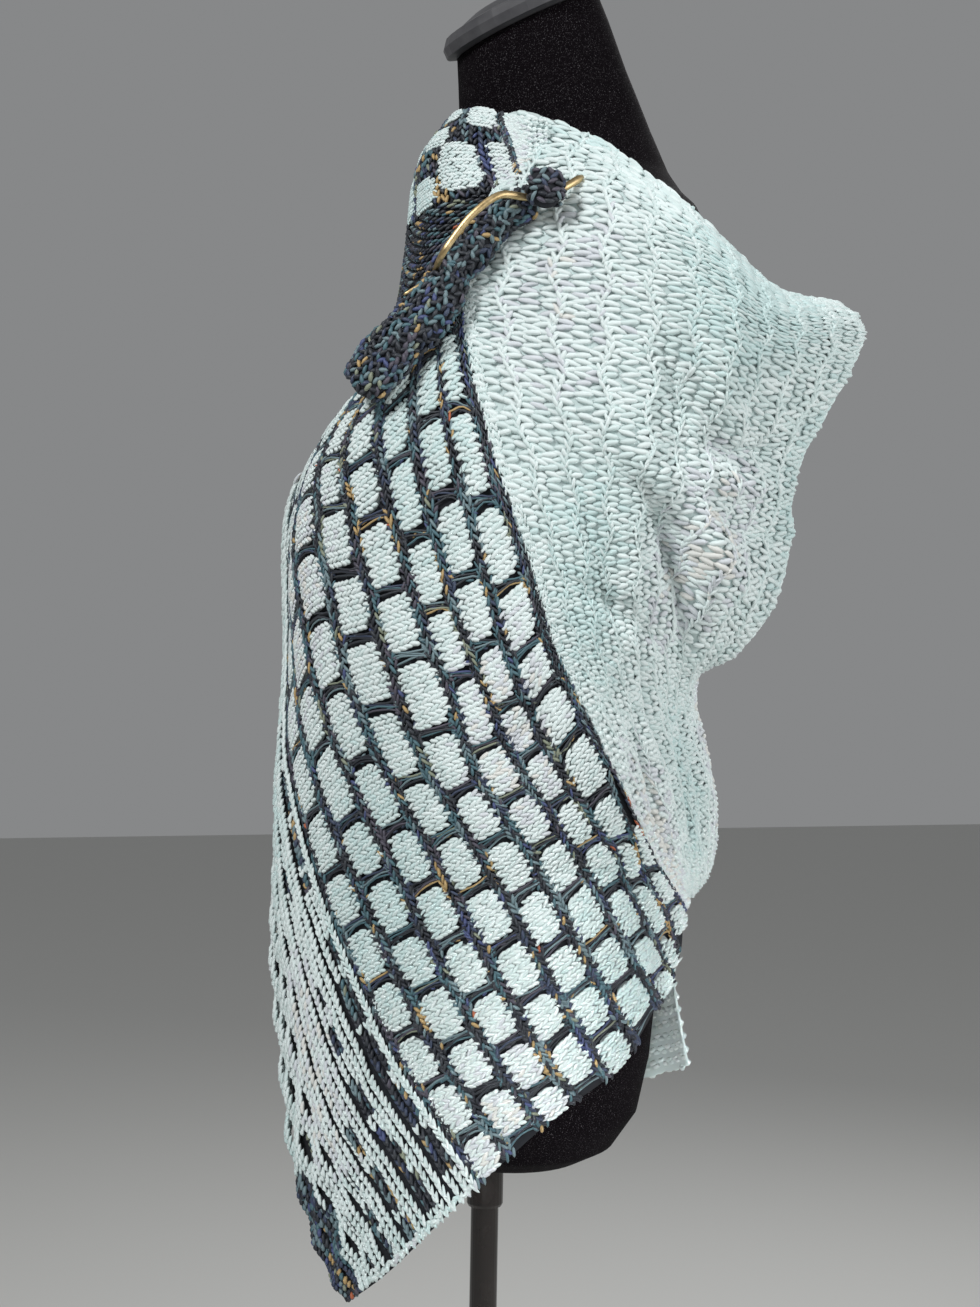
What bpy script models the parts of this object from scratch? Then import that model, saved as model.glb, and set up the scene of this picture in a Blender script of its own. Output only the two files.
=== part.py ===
"""Hand-knit brick-stitch shawl pinned over a limbless dress form on a stand.

Metres, +Z up. The origin is the centre of the stand's foot, on the pole's axis.
The form faces -Y and its own left side is +X. The drape is laid out as it is
seen from the form's front left: side runs to the right across that view, near
runs towards it, and up is the height above the floor.
"""
import math

import bpy
import numpy as np

# Stand
FOOT_RADIUS = 0.180
FOOT_HEIGHT = 0.022
FOOT_EDGE = 0.006
HUB_RADIUS = 0.030
HUB_HEIGHT = 0.030
POLE_RADIUS = 0.0095
FERRULE_RADIUS = 0.0125
FERRULE_LENGTH = 0.040
FORM_BOTTOM = 0.622

# Knitting
WALL = 0.0030
SEAM = 0.0004
CLEAR = 0.0019
BRICK_LENGTH = 0.040
COURSE_WIDTH = 0.028
BRICK_RISE = 0.0022
BRICK_START = 0.3
RIDGE_RISE = 0.0016
RIB_RISE = 0.0014

# The quarter view that the drape is laid out in
VIEW_AZIMUTH = math.radians(70)
VIEW_RIGHT = np.array([math.cos(VIEW_AZIMUTH), math.sin(VIEW_AZIMUTH), 0.0])
VIEW_NEAR = np.array([math.sin(VIEW_AZIMUTH), -math.cos(VIEW_AZIMUTH), 0.0])
VIEW_UP = np.array([0.0, 0.0, 1.0])
EYE_SIDE = -0.003
EYE_NEAR = 1.400
EYE_UP = 0.962

# Dress form sections: up, half_width, front, back, tilt in degrees
FORM_RINGS = [
    (0.622, 0.050, 0.036, 0.036, 0),
    (0.626, 0.090, 0.064, 0.065, 0),
    (0.638, 0.118, 0.085, 0.082, 0),
    (0.660, 0.136, 0.101, 0.096, 0),
    (0.695, 0.142, 0.111, 0.104, 0),
    (0.735, 0.144, 0.113, 0.108, 0),
    (0.785, 0.139, 0.110, 0.105, 0),
    (0.840, 0.127, 0.104, 0.096, 0),
    (0.890, 0.118, 0.100, 0.088, 0),
    (0.940, 0.123, 0.110, 0.090, 0),
    (0.990, 0.135, 0.127, 0.097, 0),
    (1.030, 0.144, 0.135, 0.103, 0),
    (1.055, 0.147, 0.131, 0.106, 0),
    (1.080, 0.150, 0.115, 0.110, 0),
    (1.110, 0.156, 0.092, 0.115, 0),
    (1.140, 0.163, 0.068, 0.120, 0),
    (1.170, 0.169, 0.047, 0.123, 0),
    (1.200, 0.171, 0.037, 0.124, 0),
    (1.225, 0.167, 0.032, 0.125, 0),
    (1.245, 0.152, 0.029, 0.127, 0),
    (1.262, 0.126, 0.028, 0.128, 0),
    (1.277, 0.097, 0.028, 0.125, 0),
    (1.293, 0.076, 0.028, 0.118, 2),
    (1.318, 0.063, 0.029, 0.105, 8),
    (1.350, 0.058, 0.029, 0.086, 18),
    (1.378, 0.056, 0.030, 0.072, 25),
    (1.396, 0.055, 0.031, 0.063, 27),
]
FORM_SIDES = 32
CAP_TILT = math.radians(27)
CAP_CENTRE = (0.0, 0.0185, 1.3978)
CAP_HALF_WIDTH = 0.0610
CAP_HALF_DEPTH = 0.0625
CAP_THICKNESS = 0.016
CAP_DOME = 0.008

# Guide lines of the front cloth: bricks, side, near, up. Each line follows one
# course of the knitting from the end edge up towards the neck.
PALE_EDGE = [
    (1.3, 0.134, 0.000, 0.792),
    (3.0, 0.152, 0.000, 0.823),
    (4.2, 0.153, 0.000, 0.861),
    (5.0, 0.147, 0.000, 0.895),
    (6.0, 0.137, 0.010, 0.933),
    (6.7, 0.138, 0.030, 0.952),
    (7.4, 0.158, 0.048, 0.964),
    (8.3, 0.181, 0.055, 0.994),
    (9.3, 0.195, 0.056, 1.040),
    (10.2, 0.193, 0.057, 1.071),
    (11.3, 0.208, 0.055, 1.110),
    (12.6, 0.233, 0.050, 1.156),
    (13.5, 0.242, 0.045, 1.180),
    (14.3, 0.237, 0.046, 1.190),
    (15.7, 0.219, 0.052, 1.199),
]
PALE_OUTER = [
    (1.3, 0.134, 0.008, 0.794),
    (3.0, 0.141, 0.030, 0.828),
    (4.2, 0.140, 0.040, 0.874),
    (6.0, 0.121, 0.060, 0.931),
    (7.2, 0.127, 0.088, 0.966),
    (8.2, 0.141, 0.108, 1.002),
    (10.2, 0.157, 0.108, 1.072),
    (11.5, 0.165, 0.120, 1.115),
    (12.5, 0.174, 0.122, 1.153),
    (13.5, 0.177, 0.118, 1.174),
    (14.5, 0.177, 0.108, 1.189),
    (15.7, 0.174, 0.092, 1.201),
]
PALE_MIDDLE = [
    (1.3, 0.133, 0.018, 0.795),
    (3.0, 0.130, 0.050, 0.831),
    (4.2, 0.122, 0.070, 0.876),
    (6.0, 0.102, 0.098, 0.935),
    (7.2, 0.098, 0.118, 0.977),
    (8.2, 0.100, 0.130, 1.014),
    (10.2, 0.112, 0.146, 1.081),
    (11.5, 0.118, 0.152, 1.130),
    (12.5, 0.120, 0.154, 1.167),
    (13.5, 0.119, 0.154, 1.199),
    (14.5, 0.118, 0.149, 1.223),
    (15.7, 0.118, 0.127, 1.242),
]
PALE_INNER = [
    (1.3, 0.131, 0.032, 0.796),
    (3.0, 0.116, 0.072, 0.833),
    (4.2, 0.100, 0.096, 0.877),
    (6.0, 0.076, 0.124, 0.939),
    (7.2, 0.067, 0.138, 0.979),
    (8.2, 0.062, 0.146, 1.013),
    (10.2, 0.055, 0.153, 1.087),
    (11.5, 0.051, 0.153, 1.139),
    (12.5, 0.050, 0.149, 1.180),
    (13.5, 0.051, 0.144, 1.218),
    (14.5, 0.055, 0.124, 1.260),
    (15.7, 0.063, 0.078, 1.297),
]
BOUNDARY = [
    (0.0, 0.141, 0.030, 0.762),
    (1.3, 0.129, 0.047, 0.794),
    (3.0, 0.104, 0.086, 0.834),
    (4.2, 0.082, 0.116, 0.878),
    (6.0, 0.048, 0.141, 0.944),
    (7.2, 0.033, 0.147, 0.978),
    (8.2, 0.023, 0.149, 1.012),
    (10.2, -0.006, 0.147, 1.097),
    (11.5, -0.020, 0.135, 1.154),
    (12.5, -0.023, 0.122, 1.188),
    (13.5, -0.020, 0.106, 1.225),
    (14.5, -0.005, 0.089, 1.262),
    (15.7, 0.003, 0.075, 1.315),
]
THIRD_COURSE = [
    (0.0, 0.119, 0.052, 0.741),
    (1.2, 0.103, 0.076, 0.767),
    (3.2, 0.068, 0.116, 0.830),
    (4.2, 0.052, 0.129, 0.857),
    (5.2, 0.032, 0.138, 0.886),
    (7.2, 0.001, 0.148, 0.948),
    (8.2, -0.013, 0.150, 0.987),
    (9.2, -0.025, 0.151, 1.031),
    (10.2, -0.039, 0.147, 1.084),
    (11.2, -0.044, 0.138, 1.126),
    (12.2, -0.043, 0.126, 1.165),
    (13.0, -0.039, 0.116, 1.189),
]
FIFTH_COURSE = [
    (0.0, 0.087, 0.078, 0.695),
    (1.2, 0.064, 0.101, 0.736),
    (2.2, 0.049, 0.114, 0.763),
    (4.2, 0.012, 0.137, 0.831),
    (6.2, -0.028, 0.144, 0.893),
    (7.2, -0.044, 0.144, 0.925),
    (8.2, -0.066, 0.139, 0.964),
    (9.2, -0.080, 0.133, 1.003),
    (10.2, -0.092, 0.125, 1.045),
    (11.2, -0.091, 0.121, 1.083),
    (12.2, -0.080, 0.123, 1.118),
    (13.0, -0.068, 0.120, 1.146),
]
SEVENTH_COURSE = [
    (0.0, 0.047, 0.092, 0.666),
    (1.2, 0.023, 0.107, 0.700),
    (3.2, -0.014, 0.124, 0.765),
    (5.2, -0.050, 0.127, 0.834),
    (6.2, -0.070, 0.121, 0.870),
    (7.2, -0.089, 0.111, 0.907),
    (8.2, -0.106, 0.099, 0.946),
    (9.2, -0.118, 0.086, 0.990),
    (10.2, -0.127, 0.075, 1.032),
    (11.2, -0.123, 0.075, 1.068),
    (12.2, -0.109, 0.085, 1.100),
    (13.0, -0.090, 0.098, 1.128),
]
CHAIN_LINE = [
    (0.0, -0.004, 0.098, 0.621),
    (1.2, -0.033, 0.106, 0.666),
    (2.2, -0.053, 0.107, 0.696),
    (3.2, -0.071, 0.104, 0.728),
    (4.2, -0.087, 0.098, 0.761),
    (5.2, -0.103, 0.088, 0.795),
    (6.2, -0.115, 0.076, 0.826),
    (7.2, -0.126, 0.060, 0.859),
    (8.2, -0.135, 0.038, 0.894),
    (9.2, -0.138, 0.012, 0.935),
    (10.2, -0.1395, -0.006, 0.980),
    (11.2, -0.1410, -0.010, 1.024),
    (12.2, -0.137, 0.002, 1.066),
    (13.0, -0.120, 0.035, 1.100),
]
BORDER_LINE = [
    (0.0, -0.069, 0.090, 0.556),
    (1.2, -0.088, 0.086, 0.588),
    (2.2, -0.107, 0.072, 0.615),
    (3.2, -0.121, 0.050, 0.645),
    (4.2, -0.131, 0.024, 0.680),
    (5.2, -0.138, -0.004, 0.715),
    (6.2, -0.146, -0.026, 0.750),
    (8.2, -0.1475, -0.056, 0.830),
    (10.2, -0.1460, -0.078, 0.920),
    (11.2, -0.1450, -0.082, 0.975),
    (12.2, -0.141, -0.064, 1.030),
    (13.0, -0.128, -0.020, 1.080),
]
BORDER_EDGE = [
    (0.0, -0.090, 0.076, 0.537),
    (1.2, -0.106, 0.066, 0.561),
    (2.2, -0.118, 0.048, 0.587),
    (3.2, -0.128, 0.024, 0.616),
    (4.2, -0.135, -0.004, 0.648),
    (5.2, -0.1425, -0.033, 0.683),
    (6.2, -0.1495, -0.056, 0.720),
    (8.2, -0.1510, -0.089, 0.800),
    (10.2, -0.1490, -0.112, 0.895),
    (11.2, -0.1470, -0.116, 0.950),
    (12.2, -0.1430, -0.096, 1.005),
    (13.0, -0.128, -0.050, 1.060),
]

# The guides by their place across the cloth, in courses from the boundary
FRONT_GUIDES = [
    (-10.0, PALE_EDGE),
    (-7.5, PALE_OUTER),
    (-5.0, PALE_MIDDLE),
    (-2.5, PALE_INNER),
    (0.0, BOUNDARY),
    (2.5, THIRD_COURSE),
    (4.5, FIFTH_COURSE),
    (6.5, SEVENTH_COURSE),
    (9.0, CHAIN_LINE),
    (14.0, BORDER_LINE),
    (16.0, BORDER_EDGE),
]
# Where the cloth's end edge lies and where the roll covers it: courses, bricks
END_EDGE = [(-10.0, 1.3), (0.0, 1.3), (1.2, 0.45), (2.5, 0.0), (16.0, 0.0)]
PALE_TOP = [(-10.0, 15.7), (0.0, 15.7)]
ROLL_TOP = [(0.0, 12.8), (2.1, 12.35), (4.4, 12.4), (6.5, 12.6), (16.0, 12.2)]

# Creases pressed into the front cloth: courses, bricks, half_width and
# half_length in the same units, turn in degrees, depth (below 0 is a ridge)
CREASES = [
    (2.2, 6.1, 0.55, 1.9, 62, 0.0055),
    (3.4, 5.5, 0.60, 1.5, 58, -0.0030),
    (-5.4, 9.4, 0.70, 3.2, -24, 0.0080),
    (-7.0, 8.6, 0.90, 2.4, -20, -0.0055),
    (-4.0, 7.6, 0.70, 2.6, -14, -0.0045),
    (-7.6, 11.2, 0.60, 1.9, -38, 0.0050),
    (-5.8, 12.4, 0.80, 2.0, 10, -0.0040),
    (-3.4, 12.8, 0.70, 2.2, 4, 0.0030),
    (-5.6, 4.4, 0.55, 2.2, 12, 0.0050),
    (-3.4, 4.6, 0.60, 2.4, 8, -0.0035),
]

# The cloth behind and round the neck, each line from its top edge down to the
# hem: left, back, up. It runs from the left shoulder over the back to the right
# shoulder, then as a collar round the front to the left of the neck.
WRAP_GUIDES = [
    [
        (0.117, 0.196, 1.178),
        (0.108, 0.172, 1.110),
        (0.092, 0.148, 1.030),
        (0.044, 0.126, 0.940),
        (0.028, 0.129, 0.850),
        (0.023, 0.129, 0.750),
        (0.036, 0.137, 0.678),
    ],
    [
        (0.137, 0.127, 1.186),
        (0.112, 0.140, 1.120),
        (0.062, 0.147, 1.030),
        (0.012, 0.141, 0.940),
        (-0.006, 0.138, 0.850),
        (-0.010, 0.136, 0.750),
        (-0.002, 0.139, 0.666),
    ],
    [
        (0.118, 0.132, 1.222),
        (0.096, 0.145, 1.160),
        (0.044, 0.151, 1.080),
        (-0.002, 0.149, 0.990),
        (-0.032, 0.144, 0.900),
        (-0.040, 0.139, 0.780),
        (-0.046, 0.130, 0.661),
    ],
    [
        (0.085, 0.137, 1.238),
        (0.052, 0.150, 1.165),
        (0.006, 0.154, 1.070),
        (-0.042, 0.148, 0.960),
        (-0.070, 0.137, 0.850),
        (-0.086, 0.126, 0.745),
    ],
    [
        (0.000, 0.143, 1.252),
        (-0.034, 0.150, 1.150),
        (-0.076, 0.146, 1.050),
        (-0.108, 0.130, 0.950),
        (-0.124, 0.114, 0.870),
    ],
    [
        (-0.085, 0.112, 1.276),
        (-0.122, 0.128, 1.200),
        (-0.149, 0.120, 1.110),
        (-0.160, 0.104, 1.030),
    ],
    [
        (-0.100, 0.046, 1.300),
        (-0.160, 0.058, 1.258),
        (-0.188, 0.062, 1.180),
        (-0.192, 0.060, 1.095),
    ],
    [
        (-0.072, -0.004, 1.318),
        (-0.116, -0.018, 1.280),
        (-0.158, -0.012, 1.205),
        (-0.172, -0.020, 1.125),
    ],
    [
        (-0.042, -0.021, 1.324),
        (-0.062, -0.037, 1.290),
        (-0.084, -0.039, 1.230),
        (-0.098, -0.050, 1.165),
    ],
    [
        (-0.020, -0.033, 1.326),
        (-0.030, -0.050, 1.296),
        (-0.031, -0.055, 1.262),
        (-0.033, -0.062, 1.198),
    ],
    [
        (0.006, -0.037, 1.327),
        (0.008, -0.057, 1.298),
        (0.010, -0.062, 1.262),
        (0.012, -0.073, 1.200),
    ],
    [
        (0.038, -0.034, 1.324),
        (0.048, -0.052, 1.295),
        (0.054, -0.062, 1.260),
        (0.062, -0.078, 1.205),
    ],
    [
        (0.0705, -0.0230, 1.3140),
        (0.0745, -0.0300, 1.2900),
        (0.0795, -0.0375, 1.2620),
        (0.0895, -0.0560, 1.2270),
    ],
]
RIGHT_SHOULDER = 6
COLLAR_SPLIT = 0.60
WRAP_SEAM = 0.0040
COLLAR_SEAM = 0.0180
COLLAR_END = 0.0280

# The rolled border that covers the cloth's top edge: courses, bricks,
# half_width, half_depth
ROLL_LINE = [
    (-1.6, 13.90, 0.010, 0.008),
    (-1.0, 13.60, 0.012, 0.009),
    (0.0, 12.80, 0.015, 0.010),
    (2.1, 12.10, 0.018, 0.011),
    (3.6, 12.30, 0.019, 0.011),
    (4.4, 12.20, 0.017, 0.011),
]
ROLL_GAP = 0.0026
ROLL_SIDES = 10
ROLL_STEPS = 21
KNOB_CENTRE = (0.0265, 0.1455, 1.2475)
KNOB_RADII = (0.0100, 0.0080, 0.0115)
# Bent brass shawl pin: side, near, up
PIN_LINE = [
    (0.050, 0.1260, 1.2625),
    (0.038, 0.1355, 1.2530),
    (0.026, 0.1341, 1.2475),
    (0.013, 0.1417, 1.2455),
    (0.001, 0.1477, 1.2455),
    (-0.008, 0.1510, 1.2410),
    (-0.020, 0.1530, 1.2300),
    (-0.030, 0.1530, 1.2170),
    (-0.036, 0.1520, 1.2080),
]
PIN_RADIUS = 0.0019


def view_to_world(points):
    """Turn (side, near, up) rows into world coordinates."""
    points = np.asarray(points, dtype=float)
    return (points[..., 0:1] * VIEW_RIGHT
            + points[..., 1:2] * VIEW_NEAR
            + points[..., 2:3] * VIEW_UP)


def smooth(keys, values, at):
    """Smooth curve through values given at rising keys, straight past its ends."""
    keys = np.asarray(keys, dtype=float)
    values = np.asarray(values, dtype=float)
    at = np.asarray(at, dtype=float)
    step = np.diff(keys)
    rise = np.diff(values, axis=0) / step.reshape((-1,) + (1,) * (values.ndim - 1))
    slope = np.empty_like(values)
    slope[0] = rise[0]
    slope[-1] = rise[-1]
    for i in range(1, len(keys) - 1):
        slope[i] = (rise[i - 1] * step[i] + rise[i] * step[i - 1]) / (step[i - 1] + step[i])
    inside = np.clip(at, keys[0], keys[-1])
    cell = np.clip(np.searchsorted(keys, inside, side="right") - 1, 0, len(keys) - 2)
    shape = (-1,) + (1,) * (values.ndim - 1)
    t = ((inside - keys[cell]) / step[cell]).reshape(shape)
    width = step[cell].reshape(shape)
    curve = ((2 * t ** 3 - 3 * t ** 2 + 1) * values[cell]
             + (t ** 3 - 2 * t ** 2 + t) * width * slope[cell]
             + (3 * t ** 2 - 2 * t ** 3) * values[cell + 1]
             + (t ** 3 - t ** 2) * width * slope[cell + 1])
    below = np.minimum(at - keys[0], 0).reshape(shape)
    above = np.maximum(at - keys[-1], 0).reshape(shape)
    return curve + below * slope[0] + above * slope[-1]


def form_section(up):
    """Half width, middle and half depth of the form at each height."""
    rings = np.array(FORM_RINGS)
    front = np.interp(up, rings[:, 0], rings[:, 2])
    back = np.interp(up, rings[:, 0], rings[:, 3])
    half_width = np.interp(up, rings[:, 0], rings[:, 1])
    return half_width, (back - front) / 2, (back + front) / 2


def reach_of(points):
    """How far out each point lies, 1 being the clearance round the form."""
    up = np.clip(points[..., 2], FORM_RINGS[5][0], FORM_RINGS[-4][0])
    half_width, middle, half_depth = form_section(up)
    off = CLEAR + WALL
    away_y = points[..., 1] - middle
    reach = np.hypot(points[..., 0] / (half_width + off), away_y / (half_depth + off))
    return reach, middle


def clear_of_form(points):
    """Move points that are too near the form out of it. Those that face the
    viewer move along their line of sight, so that the outline stays as laid out."""
    eye = EYE_SIDE * VIEW_RIGHT + EYE_NEAR * VIEW_NEAR + EYE_UP * VIEW_UP
    sight = eye - points
    sight /= np.linalg.norm(sight, axis=-1, keepdims=True)
    reach, middle = reach_of(points)
    low = np.zeros(reach.shape)
    high = np.where(reach < 1, 0.30, 0.0)
    for _ in range(16):
        half = (low + high) / 2
        clear = reach_of(points + sight * half[..., None])[0] >= 1
        low = np.where(clear, low, half)
        high = np.where(clear, half, high)
    seen = points + sight * high[..., None]
    out = points - np.stack([0 * middle, middle, points[..., 2]], axis=-1)
    facing = out @ VIEW_NEAR / np.maximum(np.linalg.norm(out, axis=-1), 1e-9)
    share = np.clip((facing - 0.05) / 0.30, 0, 1)[..., None]
    moved = points + (seen - points) * share
    reach, middle = reach_of(moved)
    grow = np.maximum(1.0, 1.0 / np.maximum(reach, 0.2))
    moved[..., 0] = moved[..., 0] * grow
    moved[..., 1] = middle + (moved[..., 1] - middle) * grow
    return moved


def crease_depth(courses, bricks):
    """How far the creases push the front cloth inwards."""
    depth = np.zeros(np.broadcast(courses, bricks).shape)
    for middle_c, middle_b, half_width, half_length, turn, deep in CREASES:
        turn = math.radians(turn)
        across = courses - middle_c
        along = (bricks - middle_b) * BRICK_LENGTH / COURSE_WIDTH
        over = across * math.cos(turn) + along * math.sin(turn)
        down = along * math.cos(turn) - across * math.sin(turn)
        spread = (over / half_width) ** 2 + (down / half_length) ** 2
        depth += deep * np.exp(-1.2 * spread)
    return depth


def front_sheet(courses, bricks):
    """Points of the front cloth before its creases, at arrays of one shape."""
    keys = [key for key, _ in FRONT_GUIDES]
    lines = []
    for _, table in FRONT_GUIDES:
        table = np.array(table)
        lines.append(smooth(table[:, 0], table[:, 1:], bricks.ravel()))
    lines = np.array(lines)
    flat = courses.ravel()
    points = np.array([smooth(keys, lines[:, k], flat[k:k + 1])[0] for k in range(len(flat))])
    return view_to_world(points).reshape(courses.shape + (3,))


def normals_of(sheet, across, down):
    """Unit normals of a sheet function, turned away from the form."""
    step = 0.12
    run = sheet(across + step, down) - sheet(across - step, down)
    fall = sheet(across, down + step) - sheet(across, down - step)
    normals = np.cross(fall, run)
    return normals / np.maximum(np.linalg.norm(normals, axis=-1, keepdims=True), 1e-9)


def front_points(courses, bricks):
    """Outside of the front cloth, creased and clear of the form."""
    depth = crease_depth(courses, bricks)
    inward = normals_of(front_sheet, courses, bricks)
    return clear_of_form(front_sheet(courses, bricks) - inward * depth[..., None])


def wrap_points(places, falls):
    """Outside of the cloth round the back and the neck; falls run from 0 to 10."""
    lines = []
    for guide in WRAP_GUIDES:
        guide = np.array(guide)
        length = np.concatenate([[0], np.cumsum(np.linalg.norm(np.diff(guide, axis=0), axis=1))])
        lines.append(smooth(length / length[-1], guide, falls.ravel() / 10))
    lines = np.array(lines)
    keys = np.arange(len(WRAP_GUIDES))
    flat = places.ravel()
    points = np.array([smooth(keys, lines[:, k], flat[k:k + 1])[0] for k in range(len(flat))])
    return clear_of_form(points.reshape(places.shape + (3,)))


def make_material(name, colour, roughness, metallic=0.0):
    material = bpy.data.materials.new(name)
    material.use_nodes = True
    shader = material.node_tree.nodes["Principled BSDF"]
    shader.inputs["Base Color"].default_value = (*colour, 1.0)
    shader.inputs["Roughness"].default_value = roughness
    shader.inputs["Metallic"].default_value = metallic
    return material


def add_object(name, vertices, faces, material, smooth_angle=40):
    """Make a mesh object whose faces all point out."""
    mesh = bpy.data.meshes.new(name)
    mesh.from_pydata([tuple(v) for v in vertices], [], faces)
    mesh.validate()
    mesh.materials.append(material)
    volume = 0.0
    for polygon in mesh.polygons:
        corner = [mesh.vertices[i].co for i in polygon.vertices]
        for k in range(1, len(corner) - 1):
            volume += corner[0].dot(corner[k].cross(corner[k + 1]))
    if volume < 0:
        mesh.flip_normals()
    mesh.shade_smooth()
    mesh.set_sharp_from_angle(angle=math.radians(smooth_angle))
    thing = bpy.data.objects.new(name, mesh)
    bpy.context.scene.collection.objects.link(thing)
    return thing


def wall(name, points, normals, rise, material):
    """A closed wall below a grid of points, its outside raised by the relief."""
    across, along = points.shape[:2]
    outside = points + normals * np.broadcast_to(rise, (across, along))[..., None]
    inside = points - normals * WALL
    vertices = np.concatenate([inside.reshape(-1, 3), outside.reshape(-1, 3)])
    count = across * along

    def at(i, j, layer):
        return layer * count + i * along + j

    faces = []
    for i in range(across - 1):
        for j in range(along - 1):
            faces.append((at(i, j, 1), at(i + 1, j, 1), at(i + 1, j + 1, 1), at(i, j + 1, 1)))
            faces.append((at(i, j, 0), at(i, j + 1, 0), at(i + 1, j + 1, 0), at(i + 1, j, 0)))
    for i in range(across - 1):
        for j in (0, along - 1):
            ring = (at(i, j, 0), at(i + 1, j, 0), at(i + 1, j, 1), at(i, j, 1))
            faces.append(ring if j == 0 else ring[::-1])
    for j in range(along - 1):
        for i in (0, across - 1):
            ring = (at(i, j, 0), at(i, j, 1), at(i, j + 1, 1), at(i, j + 1, 0))
            faces.append(ring if i == 0 else ring[::-1])
    return add_object(name, vertices, faces, material)


def rings_solid(name, rings, material, smooth_angle=40):
    """A closed solid through a stack of rings with the same number of points."""
    sides = len(rings[0])
    vertices = [point for ring in rings for point in ring]
    faces = []
    for i in range(len(rings) - 1):
        for j in range(sides):
            k = (j + 1) % sides
            faces.append((i * sides + j, i * sides + k, (i + 1) * sides + k, (i + 1) * sides + j))
    for i, flip in ((0, True), (len(rings) - 1, False)):
        middle = np.mean(np.array(rings[i]), axis=0)
        vertices.append(tuple(middle))
        centre = len(vertices) - 1
        for j in range(sides):
            k = (j + 1) % sides
            corner = (i * sides + j, i * sides + k, centre)
            faces.append(corner[::-1] if flip else corner)
    return add_object(name, vertices, faces, material, smooth_angle)


def turned(name, profile, sides, material):
    """A solid turned about the pole's axis from (radius, up) rows."""
    rings = []
    for radius, up in profile:
        ring = []
        for k in range(sides):
            angle = 2 * math.pi * k / sides
            ring.append((radius * math.cos(angle), radius * math.sin(angle), up))
        rings.append(ring)
    return rings_solid(name, rings, material, 30)


def tube_rings(points, half_widths, half_depths, sides, end_share):
    """Rings of a tube with rounded ends along a line, flatter towards the form."""
    tangents = np.gradient(points, axis=0)
    steps = np.linalg.norm(np.diff(points, axis=0), axis=1)
    place = np.concatenate([[0], np.cumsum(steps)])
    tangents /= np.linalg.norm(tangents, axis=1, keepdims=True)
    rings = []
    for i in range(len(points)):
        outward = points[i] - np.array([0.0, 0.03, points[i][2]])
        outward -= tangents[i] * outward.dot(tangents[i])
        outward /= np.linalg.norm(outward)
        across = np.cross(tangents[i], outward)
        to_end = min(place[i], place[-1] - place[i]) / (1.2 * half_depths[i])
        scale = end_share + (1 - end_share) * math.sqrt(1 - (1 - min(1.0, to_end)) ** 2)
        ring = []
        for k in range(sides):
            angle = 2 * math.pi * k / sides
            ring.append(tuple(points[i] + across * math.cos(angle) * half_widths[i] * scale
                              + outward * math.sin(angle) * half_depths[i] * scale))
        rings.append(ring)
    return rings


def form_rings():
    """Points of the dress form's sections, bottom to top."""
    rings = []
    for up, half_width, front, back, tilt in FORM_RINGS:
        middle = (back - front) / 2
        half_depth = (back + front) / 2
        ring = []
        for k in range(FORM_SIDES):
            angle = 2 * math.pi * k / FORM_SIDES
            y = half_depth * math.cos(angle)
            ring.append((half_width * math.sin(angle), middle + y,
                         up + y * math.tan(math.radians(tilt))))
        rings.append(ring)
    return rings


def build_stand(plastic, metal):
    turned("stand_base", [
        (FOOT_RADIUS - FOOT_EDGE, 0.0),
        (FOOT_RADIUS, FOOT_EDGE * 0.7),
        (FOOT_RADIUS, FOOT_HEIGHT * 0.45),
        (FOOT_RADIUS - FOOT_EDGE, FOOT_HEIGHT * 0.62),
        (FOOT_RADIUS * 0.5, FOOT_HEIGHT * 0.92),
        (HUB_RADIUS + FOOT_EDGE, FOOT_HEIGHT),
        (HUB_RADIUS, FOOT_HEIGHT + FOOT_EDGE),
        (HUB_RADIUS * 0.8, HUB_HEIGHT + FOOT_EDGE),
    ], 40, metal)
    bottom = HUB_HEIGHT + FOOT_EDGE + SEAM
    top = FORM_BOTTOM - SEAM
    turned("pole", [(POLE_RADIUS, bottom), (POLE_RADIUS, top - FERRULE_LENGTH - SEAM)], 24, metal)
    turned("pole_ferrule", [
        (FERRULE_RADIUS - 0.001, top - FERRULE_LENGTH),
        (FERRULE_RADIUS, top - FERRULE_LENGTH + 0.002),
        (FERRULE_RADIUS, top),
    ], 24, plastic)


def build_form(velvet, plastic):
    rings_solid("dress_form", form_rings(), velvet, 60)
    profile = [(0.90, 0.0), (1.0, 0.15), (1.0, 0.55), (0.93, 0.9), (0.80, 1.0)]
    rings = []
    for scale, rise in profile:
        lift = CAP_THICKNESS * rise
        ring = []
        for k in range(FORM_SIDES):
            angle = 2 * math.pi * k / FORM_SIDES
            x = CAP_HALF_WIDTH * scale * math.sin(angle)
            y = CAP_HALF_DEPTH * scale * math.cos(angle)
            ring.append((x, y, lift))
        rings.append(ring)
    for scale, rise in ((0.55, 0.65), (0.25, 0.92)):
        ring = []
        for k in range(FORM_SIDES):
            angle = 2 * math.pi * k / FORM_SIDES
            ring.append((CAP_HALF_WIDTH * scale * math.sin(angle),
                         CAP_HALF_DEPTH * scale * math.cos(angle),
                         CAP_THICKNESS + CAP_DOME * rise))
        rings.append(ring)
    cap = rings_solid("neck_cap", rings, plastic, 50)
    cap.location = CAP_CENTRE
    cap.rotation_euler = (CAP_TILT, 0, 0)
    return cap


def edge_at(table, courses):
    table = np.array(table)
    return np.interp(courses, table[:, 0], table[:, 1])


def front_panel(name, first, last, across, along, top, relief, material):
    """One section of the front cloth between two courses."""
    courses = np.linspace(first, last, across)
    low = edge_at(END_EDGE, courses)
    high = edge_at(top, courses)
    share = np.linspace(0, 1, along)
    bricks = low[:, None] + (high - low)[:, None] * share[None, :]
    courses = courses[:, None] + 0 * bricks
    normals = normals_of(front_points, courses, bricks)
    return wall(name, front_points(courses, bricks), normals, relief(courses, bricks), material)


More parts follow.
